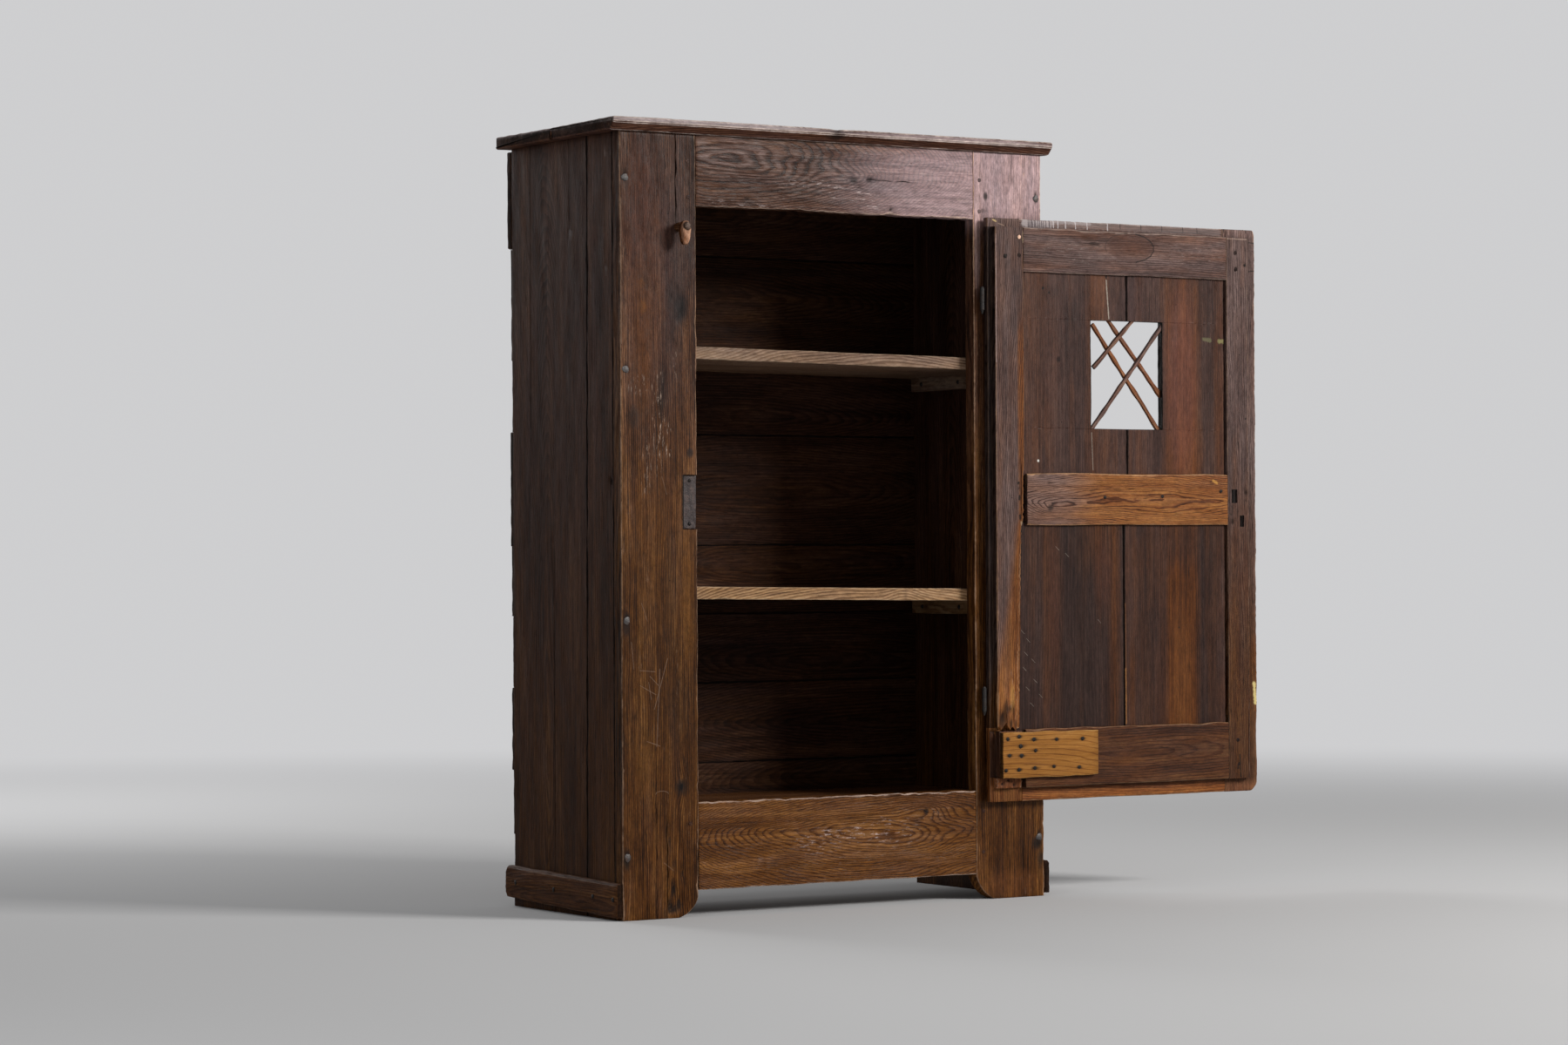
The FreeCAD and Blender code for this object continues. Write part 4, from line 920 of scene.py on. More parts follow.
TOP_PATCHES = (
    # Pale bands along the nosing's upper arris: worn, chalky wax and a painted highlight of the light on that
    # edge
    ((800, 1594.5), (330, 6), 0.8, (0.42, 0.33, 0.33)),
    ((200, 1596.5), (330, 6), 0.9, (0.52, 0.44, 0.44)),
    ((505, 1588), (28, 9), 0.92, (0.01, 0.007, 0.006)),
    ((640, 1590), (12, 7), 0.7, (0.02, 0.013, 0.012)),
    ((905, 1590), (16, 7), 0.7, (0.03, 0.018, 0.016)),
)
TORN_PATCHES = (
    ((913, 400), (9, 22), 0.9, (0.006, 0.004, 0.003)),
    ((903, 372), (12, 16), 0.9, (0.006, 0.004, 0.003)),
    ((926, 368), (4, 14), 0.9, (0.006, 0.004, 0.003)),
    ((938, 366), (3.5, 12), 0.9, (0.006, 0.004, 0.003)),
    ((930, 425), (7, 34), 0.6, (0.5, 0.26, 0.07)),
    ((920, 520), (9, 90), 0.35, (0.05, 0.024, 0.016)),
)
LOCK_PATCHES = (
    ((1593, 330), (10, 150), 0.65, (0.23, 0.11, 0.05)),
    ((1580, 219), (34, 15), 0.6, (0.26, 0.11, 0.05)),
    ((1545, 219), (40, 15), 0.45, (0.2, 0.08, 0.04)),
    ((1560, 650), (20, 120), 0.4, (0.14, 0.05, 0.026)),
)
PANEL_PATCHES = (
    ((1095, 1240), (26, 40), 0.45, (0.012, 0.008, 0.008)),
    ((1042, 1283), (26, 18), 0.4, (0.012, 0.008, 0.008)),
    ((1165, 1300), (26, 60), 0.35, (0.125, 0.045, 0.02)),
    ((1392, 1090), (50, 240), 0.65, (0.15, 0.052, 0.034)),
    ((1040, 1120), (26, 190), 0.3, (0.1, 0.036, 0.018)),
    ((1045, 600), (16, 190), 0.45, (0.11, 0.036, 0.02)),
    ((1175, 690), (26, 90), 0.45, (0.105, 0.034, 0.018)),
    ((1270, 700), (20, 80), 0.35, (0.11, 0.042, 0.02)),
    ((1260, 1270), (34, 60), 0.35, (0.055, 0.034, 0.036)),
    ((1385, 470), (30, 150), 0.35, (0.19, 0.07, 0.02)),
)
KERFED_PATCHES = (
    ((1249, 1383), (80, 37), 0.7, (0.062, 0.026, 0.018), 0.72),
    ((1137, 1402), (34, 9), 0.8, (0.07, 0.026, 0.013), 0.6),
    ((1152, 1388), (18, 5), 0.8, (0.014, 0.007, 0.005), 0.6),
)

# Pale zones: centre and reach (x, z) and strength. On the front and the door's top rail they are wax gone
# pale; on the rail they are painted glints, highlights of the light on the grain
FRONT_PALE_ZONES = (
    ((88, 1000), (18, 120), 0.85),
    ((48, 1065), (34, 24), 0.85),
    ((58, 905), (16, 80), 0.55),
    ((110, 955), (12, 48), 0.8),
    ((128, 1110), (8, 40), 0.6),
)
# Painted glints on the rail: pale specks on the grain that stand in for highlights of the light
RAIL_PAINTED_GLINTS = (
    ((300, 1434), (100, 14), 0.8),
    ((455, 1489), (110, 15), 0.8),
    ((550, 1469), (70, 16), 0.8),
    ((612, 1456), (44, 12), 0.7),
    ((235, 1436), (40, 16), 0.8),
    ((640, 150), (90, 40), 0.5),
    ((470, 140), (80, 30), 0.6),
    ((560, 150), (60, 24), 0.7),
)
KERFED_PALE_ZONES = (
    ((1080, 1370), (110, 30), 0.35),
    ((1410, 1375), (110, 36), 0.4),
)

# Where the rings stand out light: centre and reach (x, z), strength and colour
RAIL_LIGHT_RINGS = (
    ((270, 1530), (130, 55), 0.5, (0.34, 0.24, 0.22)),
    ((480, 1500), (150, 50), 0.35, (0.34, 0.24, 0.22)),
    ((590, 150), (180, 60), 0.4, (0.26, 0.13, 0.05)),
)


def make_materials():
    """One finish for each material slot, and variants for boards with marks of their own."""
    return {
        "front": wood("front_oak", CARCASS_COOL, CARCASS_WARM, marks_before=CARCASS_MARKS, gloss=0.4,
                      figure=0.28, worms=0.06, edge_rough=0.35, flecks=0.4, blotch=0.4, fibre=0.42, grit=0.95,
                      worn=(0.36, 0.22, 0.14), marks=FRONT_MARKS, patches=FRONT_PATCHES,
                      pale_zones=FRONT_PALE_ZONES),
        # On the rail the pale colour and pale zones are painted glints, and its sheen patch is painted too
        "rail": wood("rail_oak", CARCASS_COOL, CARCASS_WARM, marks_before=CARCASS_MARKS, gloss=0.37,
                     figure=0.33, worms=0.06, blotch=0.3, flecks=0.3, ring_rise=(0.45, 0.9),
                     light_rings=RAIL_LIGHT_RINGS, worn=(0.4, 0.29, 0.23), wave=1.5, relief=0.7,
                     dashes=0.3, pores=0.45, grit=0.7, patchy=0.3, pale_colour=(0.52, 0.42, 0.4),
                     pale_zones=RAIL_PAINTED_GLINTS, patches=RAIL_PATCHES),
        "side": wood("side_oak", CARCASS_COOL, CARCASS_WARM, gloss=0.6, figure=0.18, worms=0.03,
                     shine=0.06, worn_share=0.35),
        # The top's pale worn colour on the nosing's edges is partly a painted highlight
        "top": wood("top_oak", CARCASS_COOL, CARCASS_WARM, gloss=0.7, figure=0.25, flecks=0.3, shine=0.04,
                    worn=(0.56, 0.46, 0.41), worn_share=0.95, patches=TOP_PATCHES),
        "door": wood("door_oak", DOOR_COOL, DOOR_WARM, gloss=0.52, figure=0.22, worms=0.04,
                     worn=(0.3, 0.19, 0.13)),
        "torn": wood("torn_stile_oak", DOOR_COOL, DOOR_WARM, marks_before=DOOR_MARKS, gloss=0.52, figure=0.4,
                     worms=0.04, worn=(0.34, 0.19, 0.1), ring_rise=(0.5, 0.9), dashes=0.6,
                     marks=TORN_MARKS, patches=TORN_PATCHES,
                     pale_zones=(((930, 430), (14, 60), 0.8), ((943, 500), (6, 60), 0.6))),
        "lock": wood("lock_stile_oak", DOOR_COOL, DOOR_WARM, marks_before=DOOR_MARKS, gloss=0.52, figure=0.42,
                     worms=0.05, wave=1.6, ring_rise=(0.45, 0.9), grit=0.8, worn=(0.3, 0.19, 0.13),
                     hollows=SLOT_HOLLOWS, patches=LOCK_PATCHES, marks=LOCK_MARKS),
        "tan": wood("tan_oak", DOOR_COOL, DOOR_WARM, marks_before=DOOR_MARKS, gloss=0.5, figure=0.5,
                    blotch=0.3, wave=1.4, worn=(0.46, 0.26, 0.13), ring_rise=(0.55, 0.9), flecks=0.25,
                    marks=(((1470, 884), (1480, 879), 3, 0.8, (0.45, 0.22, 0.05)),)),
        "panel": wood("panel_oak", PANEL_COOL, PANEL_WARM, marks_before=DOOR_MARKS, gloss=0.46, figure=0.12,
                      pores=0.45, blotch=0.24, streaks=0.22, worn_share=0.4, worms=0.015,
                      hollows=(WINDOW_HOLLOW,), patches=PANEL_PATCHES, marks=PANEL_MARKS),
        "kerfed": wood("top_rail_oak", DOOR_COOL, DOOR_WARM, marks_before=DOOR_MARKS, gloss=0.5, figure=0.24,
                       worms=0.03, worn=(0.3, 0.22, 0.18), marks=lip_marks() + OVAL, flecks=0.3,
                       pale_zones=KERFED_PALE_ZONES, pale_colour=(0.3, 0.24, 0.22), patches=KERFED_PATCHES),
        "low_rail": wood("low_rail_oak", PANEL_COOL, DOOR_WARM, gloss=0.5, figure=0.26, worms=0.02,
                         worn=(0.3, 0.17, 0.09), ring_rise=(0.5, 0.9)),
        "shelf": wood("shelf_oak", SHELF_COOL, SHELF_WARM, gloss=0.62, figure=0.35, pores=0.45,
                      worn=(0.5, 0.37, 0.25), worn_share=0.5),
        "pine": wood("patch_pine", PINE_COOL, PINE_COOL, gloss=0.55, figure=0.36, pores=0.1, dashes=0.15,
                     blotch=0.26, grit=0.2, worn=(0.46, 0.25, 0.08), ring_rise=(0.7, 0.92), patchy=0.2),
        "button": wood("button_wood", BUTTON_COOL, DOOR_WARM, gloss=0.42, figure=0.3, pores=0.2,
                       worn=(0.6, 0.34, 0.22)),
        "iron": iron("forged_iron", (0.07, 0.065, 0.063), metal=0.6, bare=(0.45, 0.43, 0.41)),
        "hinge_iron": iron("hinge_iron", (0.022, 0.019, 0.018), (0.045, 0.026, 0.018), 0.6, 0.2, shine=0.3),
        "dark_iron": iron("stained_iron", (0.008, 0.006, 0.005), (0.02, 0.011, 0.007), 0.6, 0,
                          (0.04, 0.03, 0.025), shine=0.15),
        "grey_iron": iron("keeper_iron", (0.036, 0.026, 0.025), (0.14, 0.098, 0.084), 0.8, 0.25,
                          (0.34, 0.28, 0.26), shine=0.3),
        "nail_iron": iron("button_nail_iron", (0.08, 0.05, 0.036), (0.18, 0.105, 0.07), 0.8, 0.25,
                          (0.4, 0.3, 0.24), shine=0.3),
    }


materials = make_materials()


def arc_height_inverse(points, z):
    """The x of a circular arc through three (x, z) points, at heights z."""
    (x1, z1), (x2, z2), (x3, z3) = points
    d = 2 * (x1 * (z2 - z3) + x2 * (z3 - z1) + x3 * (z1 - z2))
    q1, q2, q3 = x1 ** 2 + z1 ** 2, x2 ** 2 + z2 ** 2, x3 ** 2 + z3 ** 2
    cx = (q1 * (z2 - z3) + q2 * (z3 - z1) + q3 * (z1 - z2)) / d
    cz = (q1 * (x3 - x2) + q2 * (x1 - x3) + q3 * (x2 - x1)) / d
    r2 = (x1 - cx) ** 2 + (z1 - cz) ** 2
    reach = np.sqrt(np.maximum(r2 - (np.asarray(z, float) - cz) ** 2, 0))
    return cx + reach * np.sign(x1 - cx)


LEFT_FOOT_ARC = ((175, 40), (158, 13), (121, 0))
RIGHT_FOOT_ARC = ((861.5, 52), (879, 19), (908, 0))
NAIL_HEIGHTS = (1482, 1099, 598, 126)
RECESS_X = 146
RECESS_Z = (780, 889)
RECESS_DEPTH = 8


def lower_is_warmer(z, x):
    """The waxed front turns from red-brown at the top to orange-brown at the foot."""
    return 0.38 + 0.62 * (1 - smooth(z, 450, 1480))


def painted_sheen(x, z):
    """Painted pinkish sheen on the upper right of the front: a lighter tone that stands in for the light's
    reflection there.
    """
    return 0.84 + 1.1 * smooth(x, 420, 820) * smooth(z, 1400, 1432)


def make_left_stile():
    """The left stile with its foot, the recess of the keeper, a long split and a rotten foot."""
    box = room("left_stile")
    x0, x1 = box["x"]
    y0, y1 = box["y"]

    def corners(z):
        foot = np.where(z < LEFT_FOOT_ARC[0][1], arc_height_inverse(LEFT_FOOT_ARC, z), x1)
        inner = np.minimum(x1, foot + 2.2 * smooth(z, 25, 40))
        return [(x0, y0), (inner, y0), (inner, y1), (x0, y1)]

    def recess(z, x, y):
        inside = (x > RECESS_X) & (z > RECESS_Z[0]) & (z < RECESS_Z[1])
        sunk = RECESS_DEPTH + y * (y1 - RECESS_DEPTH) / y1
        return x, np.where(inside, sunk, y)

    stains = [(z + 4, 12, 16, 7, 0.9) for z in NAIL_HEIGHTS]
    stains += [(264, 136, 12, 8, 0.95), (1222, 142, 34, 12, 0.6), (1230, 130, 60, 18, 0.3),
               (126, 10, 30, 12, 0.7), (20, 112, 14, 22, 0.55)]
    pits = [(1482, 12, 12, 8, 1.2), (180, 103, 26, 4, 2.5), (150, 112, 20, 3.5, 2.5),
            (110, 120, 14, 4, 3), (60, 118, 24, 5, 4), (25, 110, 22, 7, 4.5),
            (30, 132, 16, 5, 3.5), (88, 140, 9, 4, 2.5), (210, 74, 16, 3, 2),
            (1225, 146, 30, 8, 1.2)]
    make_board("left_stile_board", "left_stile", "carcass", "carcass_oak", materials["front"], "zxy",
               box["z"], corners, radius=(2.6, 2.6, 1.2, 1.2), spacing=FINE, steps=RECESS_Z,
               lines=(RECESS_X - 0.2, RECESS_X + 0.2), reshape=recess, end=2, undulation=0.45,
               cracks=((130, 1396, 1580, 1.9, 12), (78, 0, 300, 0.6, 4),
                       (104, 0, 205, 1.3, 6), (60, 560, 820, 0.35, 1.6)),
               chips=((1, 150, 30, 2), (1, 262, 6, 4), (1, 480, 12, 2), (0, 20, 18, 5),
                      (0, 130, 9, 3.5), (0, 300, 5, 3), (1, 1190, 30, 3), (1, 60, 18, 4)),
               pits=pits, stains=stains, knot=(264, 136.5, 11), grime=(0, 0, 0.5, 0.9), warm=lower_is_warmer,
               tone=lambda z, x: 0.68 + 0.2 * between(z, 700, 1200, 200) + 0.26 * (1 - smooth(z, 60, 420)),
               # Painted shade: the stile's side face is toned to 0.6, as if turned away from the light like
               # the side boards
               shade=lambda z, x, y: np.where((x < 1.2) & (y > 2), 0.6, 1),
               pith=(700, -150, 60, 0, 0.006, 4.6))


def make_right_stile():
    """The right stile with its own foot curve, a check at the top and a repaired foot."""
    box = room("right_stile")
    x0, x1 = box["x"]
    y0, y1 = box["y"]

    def corners(z):
        inner = np.where(z < RIGHT_FOOT_ARC[0][1], arc_height_inverse(RIGHT_FOOT_ARC, z), x0)
        return [(inner, y0), (x1, y0), (x1, y1), (inner, y1)]

    stains = [(z + 4, x1 - 13, 16, 7, 0.9) for z in NAIL_HEIGHTS]
    stains += [(1482, 893, 13, 6, 0.9), (1448, 885, 6, 5, 0.6), (113, 1019, 12, 14, 0.8),
               (82, 1028, 22, 9, 0.7), (36, 905, 1.6, 30, 0.7)]
    make_board("right_stile_board", "right_stile", "carcass", "carcass_oak", materials["front"], "zxy",
               box["z"], corners, radius=(2.4, 2.6, 1.2, 1.2), spacing=FINE, end=2, undulation=0.45,
               cracks=((961, 1498, 1575, 0.5, 3.5), (983, 40, 135, 0.7, 4),
                       (935, 1440, 1520, 0.3, 1.2)),
               chips=((1, 155, 5, 3), (1, 15, 12, 3), (0, 1370, 8, 2.5), (0, 1335, 4, 3)),
               pits=((1482, 893, 14, 6, 1.5), (1448, 885, 7, 5, 1.5), (90, 1026, 20, 6, 1.5)),
               stains=stains, knot=(1482, 893, 13),
               # Cooler and lighter towards the top: painted pinkish sheen
               warm=lambda z, x: lower_is_warmer(z, x) - 0.3 * smooth(z, 1400, 1432),
               tone=lambda z, x: painted_sheen(x, z) + 0.14 * (1 - smooth(z, 60, 300)),
               pith=(900, 1180, 60, 0, -0.006, 4.6))


def make_front_rails():
    """The two wide rails of the front, both sawn so that their rings show as ovals."""
    x0 = room("left_stile")["x"][1] + 0.3
    x1 = room("right_stile")["x"][0] - 0.3
    top = room("top_rail")
    y0, y1 = top["y"]
    z0, z1 = top["z"]

    def top_corners(x):
        worn = 2.2 * bump(x - 650, 14) + 1.6 * bump(x - 780, 40) + 1 * bump(x - 420, 30)
        worn = worn + 1.2 * np.clip(Ripple(71, 38)(x), 0, 2)
        return [(z0 + worn, y0), (z1, y0), (z1, y1), (z0 + worn, y1)]

    make_board("top_rail_board", "top_rail", "carcass", "carcass_oak", materials["rail"], "xzy",
               (x0, x1), top_corners, radius=(2.4, 1.6, 1.2, 1.2), spacing=FINE, undulation=0.5,
               cracks=((1502.5, 590, 712, 0.8, 4.5, -0.01), (1492, 470, 560, 0.4, 2, -0.05),
                       (1484, 540, 610, 0.45, 2.2, -0.06)),
               chips=((0, 653, 9, 6), (0, 250, 8, 3), (0, 820, 20, 3), (0, 500, 25, 2)),
               pits=((600, 1505, 8, 4, 4), (548, 1504, 14, 6, 1.6), (575, 1488, 10, 6, 1.5),
                     (652, 1444, 5, 4, 3), (300, 1452, 5, 4, 2), (282, 1500, 4, 3, 2),
                     (620, 1476, 12, 5, 1.5), (330, 1470, 60, 10, 0.7)),
               stains=((600, 1505, 12, 5, 0.8), (560, 1500, 45, 12, 0.35),
                       (652, 1444, 9, 5, 0.8), (300, 1452, 9, 5, 0.7), (282, 1500, 6, 4, 0.7),
                       (465, 1464, 5, 4, 0.6)),
               # Cooler and lighter towards the right: painted pinkish sheen
               knot=(560, 1500, 17), warm=lambda x, z: 0.3 - 0.35 * smooth(x, 380, 800),
               tone=lambda x, z: 0.86 * painted_sheen(x, z), end_grime=0.9, pith=(250, 1533, 50, 0.50e-3, 0, 5.5))

    low = room("bottom_rail")
    z0, z1 = low["z"]

    def low_corners(x):
        edge = z1 - 1.4 * np.clip(Ripple(72, 50)(x), 0, 2)
        return [(z0, y0), (edge, y0), (edge, y1), (z0, y1)]

    make_board("bottom_rail_board", "bottom_rail", "carcass", "carcass_oak", materials["rail"], "xzy",
               (x0, x1), low_corners, radius=(2.2, 3.2, 2, 1.2), spacing=FINE, undulation=0.5,
               cracks=((112, 190, 330, 0.35, 1.8, 0.02), (92, 330, 520, 0.3, 1.5, 0.03)),
               chips=((1, 320, 6, 3), (1, 560, 10, 2.5), (0, 300, 20, 2)),
               pits=((733, 190, 6, 9, 1.6), (430, 120, 22, 5, 0.9)),
               stains=((733, 190, 5, 9, 0.8), (728, 72, 10, 6, 0.6), (530, 78, 9, 5, 0.5)),
               knot=(733, 192, 13), warm=0.95, tone=1.16, end_grime=0.9,
               pith=(590, 152, 34, 0.36e-3, -0.01, 4.2))


def make_sides():
    """Two upright boards on each side, with splits in the rear ones."""
    for side in ("left", "right"):
        front = room(f"{side}_side_front_board")
        rear = room(f"{side}_side_rear_board")
        x_out, x_in = front["x"] if side == "left" else front["x"][::-1]
        low_joint, high_joint = front["y"][1], rear["y"][0]
        height = front["z"][1]

        def joint(z, gap):
            return low_joint + (high_joint - low_joint) * z / height + gap

        def front_corners(z, x_out=x_out, x_in=x_in, y0=front["y"][0]):
            return [(y0, x_out), (joint(z, -0.3), x_out), (joint(z, -0.3), x_in), (y0, x_in)]

        def rear_corners(z, x_out=x_out, x_in=x_in, y1=rear["y"][1]):
            return [(joint(z, 0.3), x_out), (y1, x_out), (y1, x_in), (joint(z, 0.3), x_in)]

        detail = PLAIN if side == "left" else COARSE
        # The side boards are toned low: partly duller unwaxed oak, partly painted shade on the side that
        # faces away from the key light
        make_board(f"{side}_front_side_board", f"{side}_side_front_board", "carcass", "carcass_oak",
                   materials["side"], "zyx", front["z"], front_corners, radius=(1.8, 2.4, 1, 1),
                   spacing=detail, undulation=0.35, cracks=((62, 1300, 1540, 0.4, 2),),
                   pits=((876, 40, 7, 5, 4),), stains=((876, 40, 12, 7, 0.9),),
                   warm=lambda z, y: 0.35 + 0.5 * (1 - smooth(z, 100, 1200)), tone=0.54,
                   grime=(0.9, 0.8, 0.5, 0.3), pith=(0, -120, 80, 0, 0.004, 5))
        make_board(f"{side}_rear_side_board", f"{side}_side_rear_board", "carcass", "carcass_oak",
                   materials["side"], "zyx", rear["z"], rear_corners, radius=(2.4, 2, 1, 1),
                   spacing=detail, undulation=0.4,
                   cracks=((272, 0, 760, 0.8, 5), (367, 900, 1575, 0.7, 4.5), (205, 1380, 1575, 0.5, 3)),
                   chips=((1, 700, 30, 3), (1, 1300, 20, 3)),
                   warm=lambda z, y: 0.3 + 0.5 * (1 - smooth(z, 100, 1200)), tone=0.5,
                   grime=(0.8, 0, 0.3, 0.5), pith=(500, 300, 30, 0.10e-3, 0.01, 5))


def make_top():
    """Two boards; the front one has a nosing over a bevel, worn and chipped along its edge."""
    front = room("top_board_front")
    rear = room("top_board_rear")
    z0, z1 = front["z"]
    y_front, y_joint = front["y"]
    nosing, bevel, ease = 12, 15, 3

    def sag(x):
        return 0.5 + 0.4 * Ripple(81, 700)(x)

    def front_corners(x):
        high = z1 - np.clip(sag(x), 0.2, 2.5)
        return [(y_front, high), (y_joint - 0.3, high - 1.5), (y_joint - 0.3, z0), (y_front + bevel, z0),
                (y_front + ease * 0.5, high - nosing - 0.5), (y_front, high - nosing + ease)]

    def rear_corners(x):
        high = z1 - np.clip(sag(x), 0.2, 2.5) - 1
        return [(y_joint + 0.3, high - 0.8), (rear["y"][1], high), (rear["y"][1], z0), (y_joint + 0.3, z0)]

    make_board("top_front_board", "top_board_front", "carcass", "carcass_oak", materials["top"], "xyz",
               front["x"], front_corners, radius=(3.4, 2, 1, 1.5, 2.5, 3), spacing=FINE, end=4.5,
               undulation=0.25, cracks=((95, 0, 420, 0.4, 2), (150, 640, 1055, 0.5, 2.5)),
               chips=((0, 503, 14, 6), (0, 520, 5, 5), (5, 512, 12, 5), (0, 30, 9, 3.5),
                      (0, 170, 20, 2.5), (0, 330, 8, 3), (0, 690, 30, 2.5), (0, 860, 8, 3.5),
                      (5, 760, 20, 3), (5, 240, 14, 3)),
               pits=((505, -14, 10, 8, 3),), stains=((508, -18, 14, 10, 0.7),),
               grime=(0, 0.9, 0.9, 0, 0, 0), warm=0.2, tone=0.95, pith=(500, 120, 30, 0.12e-3, 0, 5))
    make_board("top_rear_board", "top_board_rear", "carcass", "carcass_oak", materials["top"], "xyz",
               rear["x"], rear_corners, radius=(2, 2.6, 1.2, 1), spacing=PLAIN, end=4.5,
               undulation=0.3, cracks=((340, -20, 380, 0.6, 3), (400, 700, 1050, 0.5, 2.5)),
               grime=(0.9, 0, 0, 0.9), warm=0.25, tone=0.9, pith=(300, 360, 30, 0.12e-3, 0, 5))


def make_back():
    """The eight planks across the back."""
    for number in range(1, 9):
        node = f"back_plank_{number}"
        box = room(node)
        z0, z1 = box["z"]
        y0, y1 = box["y"]
        lean = Ripple(90 + number, 900)

        def corners(x, z0=z0, z1=z1, y0=y0, y1=y1, lean=lean):
            high = z1 + 1.3 + 0.5 * lean(x)
            return [(z0 - 0.3, y1), (high, y1), (high, y0), (z0 - 0.3, y0)]

        middle = (z0 + z1) / 2
        nails = [(x, z0 + (z1 - z0) * share, 9, 7, 0.8) for share in (0.25, 0.75) for x in (17, 1020)]
        make_board(f"back_board_{number}", node, "carcass", "carcass_oak", materials["side"], "xzy",
                   box["x"], corners, radius=(2.6, 2.6, 1.6, 1.6), spacing=(12, 12), end=2.6,
                   undulation=0.9, grime=(0.5, 0.5, 0.9, 0.9), stains=nails,
                   cracks=((middle + 20 * (number % 3 - 1), 0, 260 + 40 * number, 0.5, 3),),
                   warm=0.35 + 0.1 * (number % 3), tone=0.85 + 0.1 * (number % 2),
                   # Painted shade: the planks' inner faces are toned to half, as in the shade of the
                   # cupboard's inside
                   shade=lambda x, z, y: 1 - 0.5 * (y < y0 + 3),
                   pith=(300 + 90 * number, middle + 30 * (number % 3 - 1), 28, 0.2e-3, 0.01, 5))


def make_inside():
    """Floor board, two pale shelves and the cleats that carry them."""
    for node, material, slot, tone, warm in (
            ("floor_board", materials["rail"], "carcass_oak", 1, 0.7),
            ("upper_shelf", materials["shelf"], "shelf_oak", 0.72, 0.2),
            ("lower_shelf", materials["shelf"], "shelf_oak", 1, 0.75)):
        box = room(node)
        x0, x1 = box["x"]
        y0, y1 = box["y"]
        thick = 25
        drop = box["z"][1] - box["z"][0] - thick
        top = box["z"][1]

        def corners(x, x0=x0, x1=x1, y0=y0, y1=y1, top=top, drop=drop, thick=thick):
            high = top - drop * (x - x0) / (x1 - x0)
            return [(y0, high), (y1, high), (y1, high - thick), (y0, high - thick)]

        chips = ((3, 260, 16, 3.5), (3, 620, 10, 2)) if node != "floor_board" else ()
        make_board(node + "_plank", node, "carcass", slot, material, "xyz", (x0, x1), corners,
                   radius=(1.6, 1, 1, 1.6), spacing=PLAIN, undulation=0.35, chips=chips, end=1,
                   knot=(705, y0 - 6, 13) if node == "lower_shelf" else NO_KNOT,
                   warm=warm, tone=tone, pith=(700, y0 + 60, 30, 0.25e-3, 0.03, 4.2))
        cleats = room(node + "_cleats")
        y0, y1 = cleats["y"]
        z0, z1 = cleats["z"]
        width = 25
        tilt = 0.6 * drop * width / (x1 - x0)
        lefts = (cleats["x"][0], cleats["x"][1] - width)
        tops = (z1, z1 - drop * (lefts[1] - lefts[0]) / (x1 - x0))
        for number, (left, high) in enumerate(zip(lefts, tops)):
            low = high - 30
            make_board(f"{node}_cleat_{number + 1}", node + "_cleats", "carcass", slot, material, "yxz",
                       (y0, y1), rectangle(left, left + width, high - tilt, max(low, z0)), radius=1.2,
                       spacing=COARSE, undulation=0.3, end=1, warm=warm, tone=0.7 * tone,
                       pith=(0, -200, 50, 0, 0, 4))


def make_plinths():
    """A low board along each side, chamfered on its upper outer edge."""
    for side in ("left", "right"):
        box = room(side + "_plinth")
        outer, inner = box["x"] if side == "left" else box["x"][::-1]
        inward = 1 if side == "left" else -1
        y0, y1 = box["y"]
        z_low, z_high = box["z"]

        def corners(y, outer=outer, inner=inner, inward=inward):
            share = (y - y0) / (y1 - y0)
            low = z_low + 14 * share + 9 * smooth(y, y1 - 9, y1)
            high = z_high - 10 * (1 - share) - 9 * smooth(y, y1 - 9, y1)
            return [(low, outer), (high - 5, outer), (high, outer + inward * 5), (high, inner), (low, inner)]

        make_board(side + "_plinth_board", side + "_plinth", "carcass", "carcass_oak", materials["side"],
                   "yzx", (y0, y1), corners, radius=(1.6, 1.4, 1.4, 1, 1), spacing=(8, 6), end=1.8,
                   undulation=0.6, chips=((1, 140, 10, 3), (2, 330, 14, 3)), warm=0.7, tone=0.75,
                   pith=(200, 30, 24, 0.2e-3, 0.01, 4.5))


# Door, whose inner face looks forward while it is folded open
DOOR_FACE = -10
LIP_DEPTH = 12
DOOR_DEPTH = 27


def door_y(depth):
    """The y of a depth counted from the door's outer face."""
    return DOOR_FACE - depth


# Heights between which the door's frame stands proud of its lip, and where the hinge stile is broken
RAISED_LOW, RAISED_TOP = 234, 1416
STILE_BREAK = 361


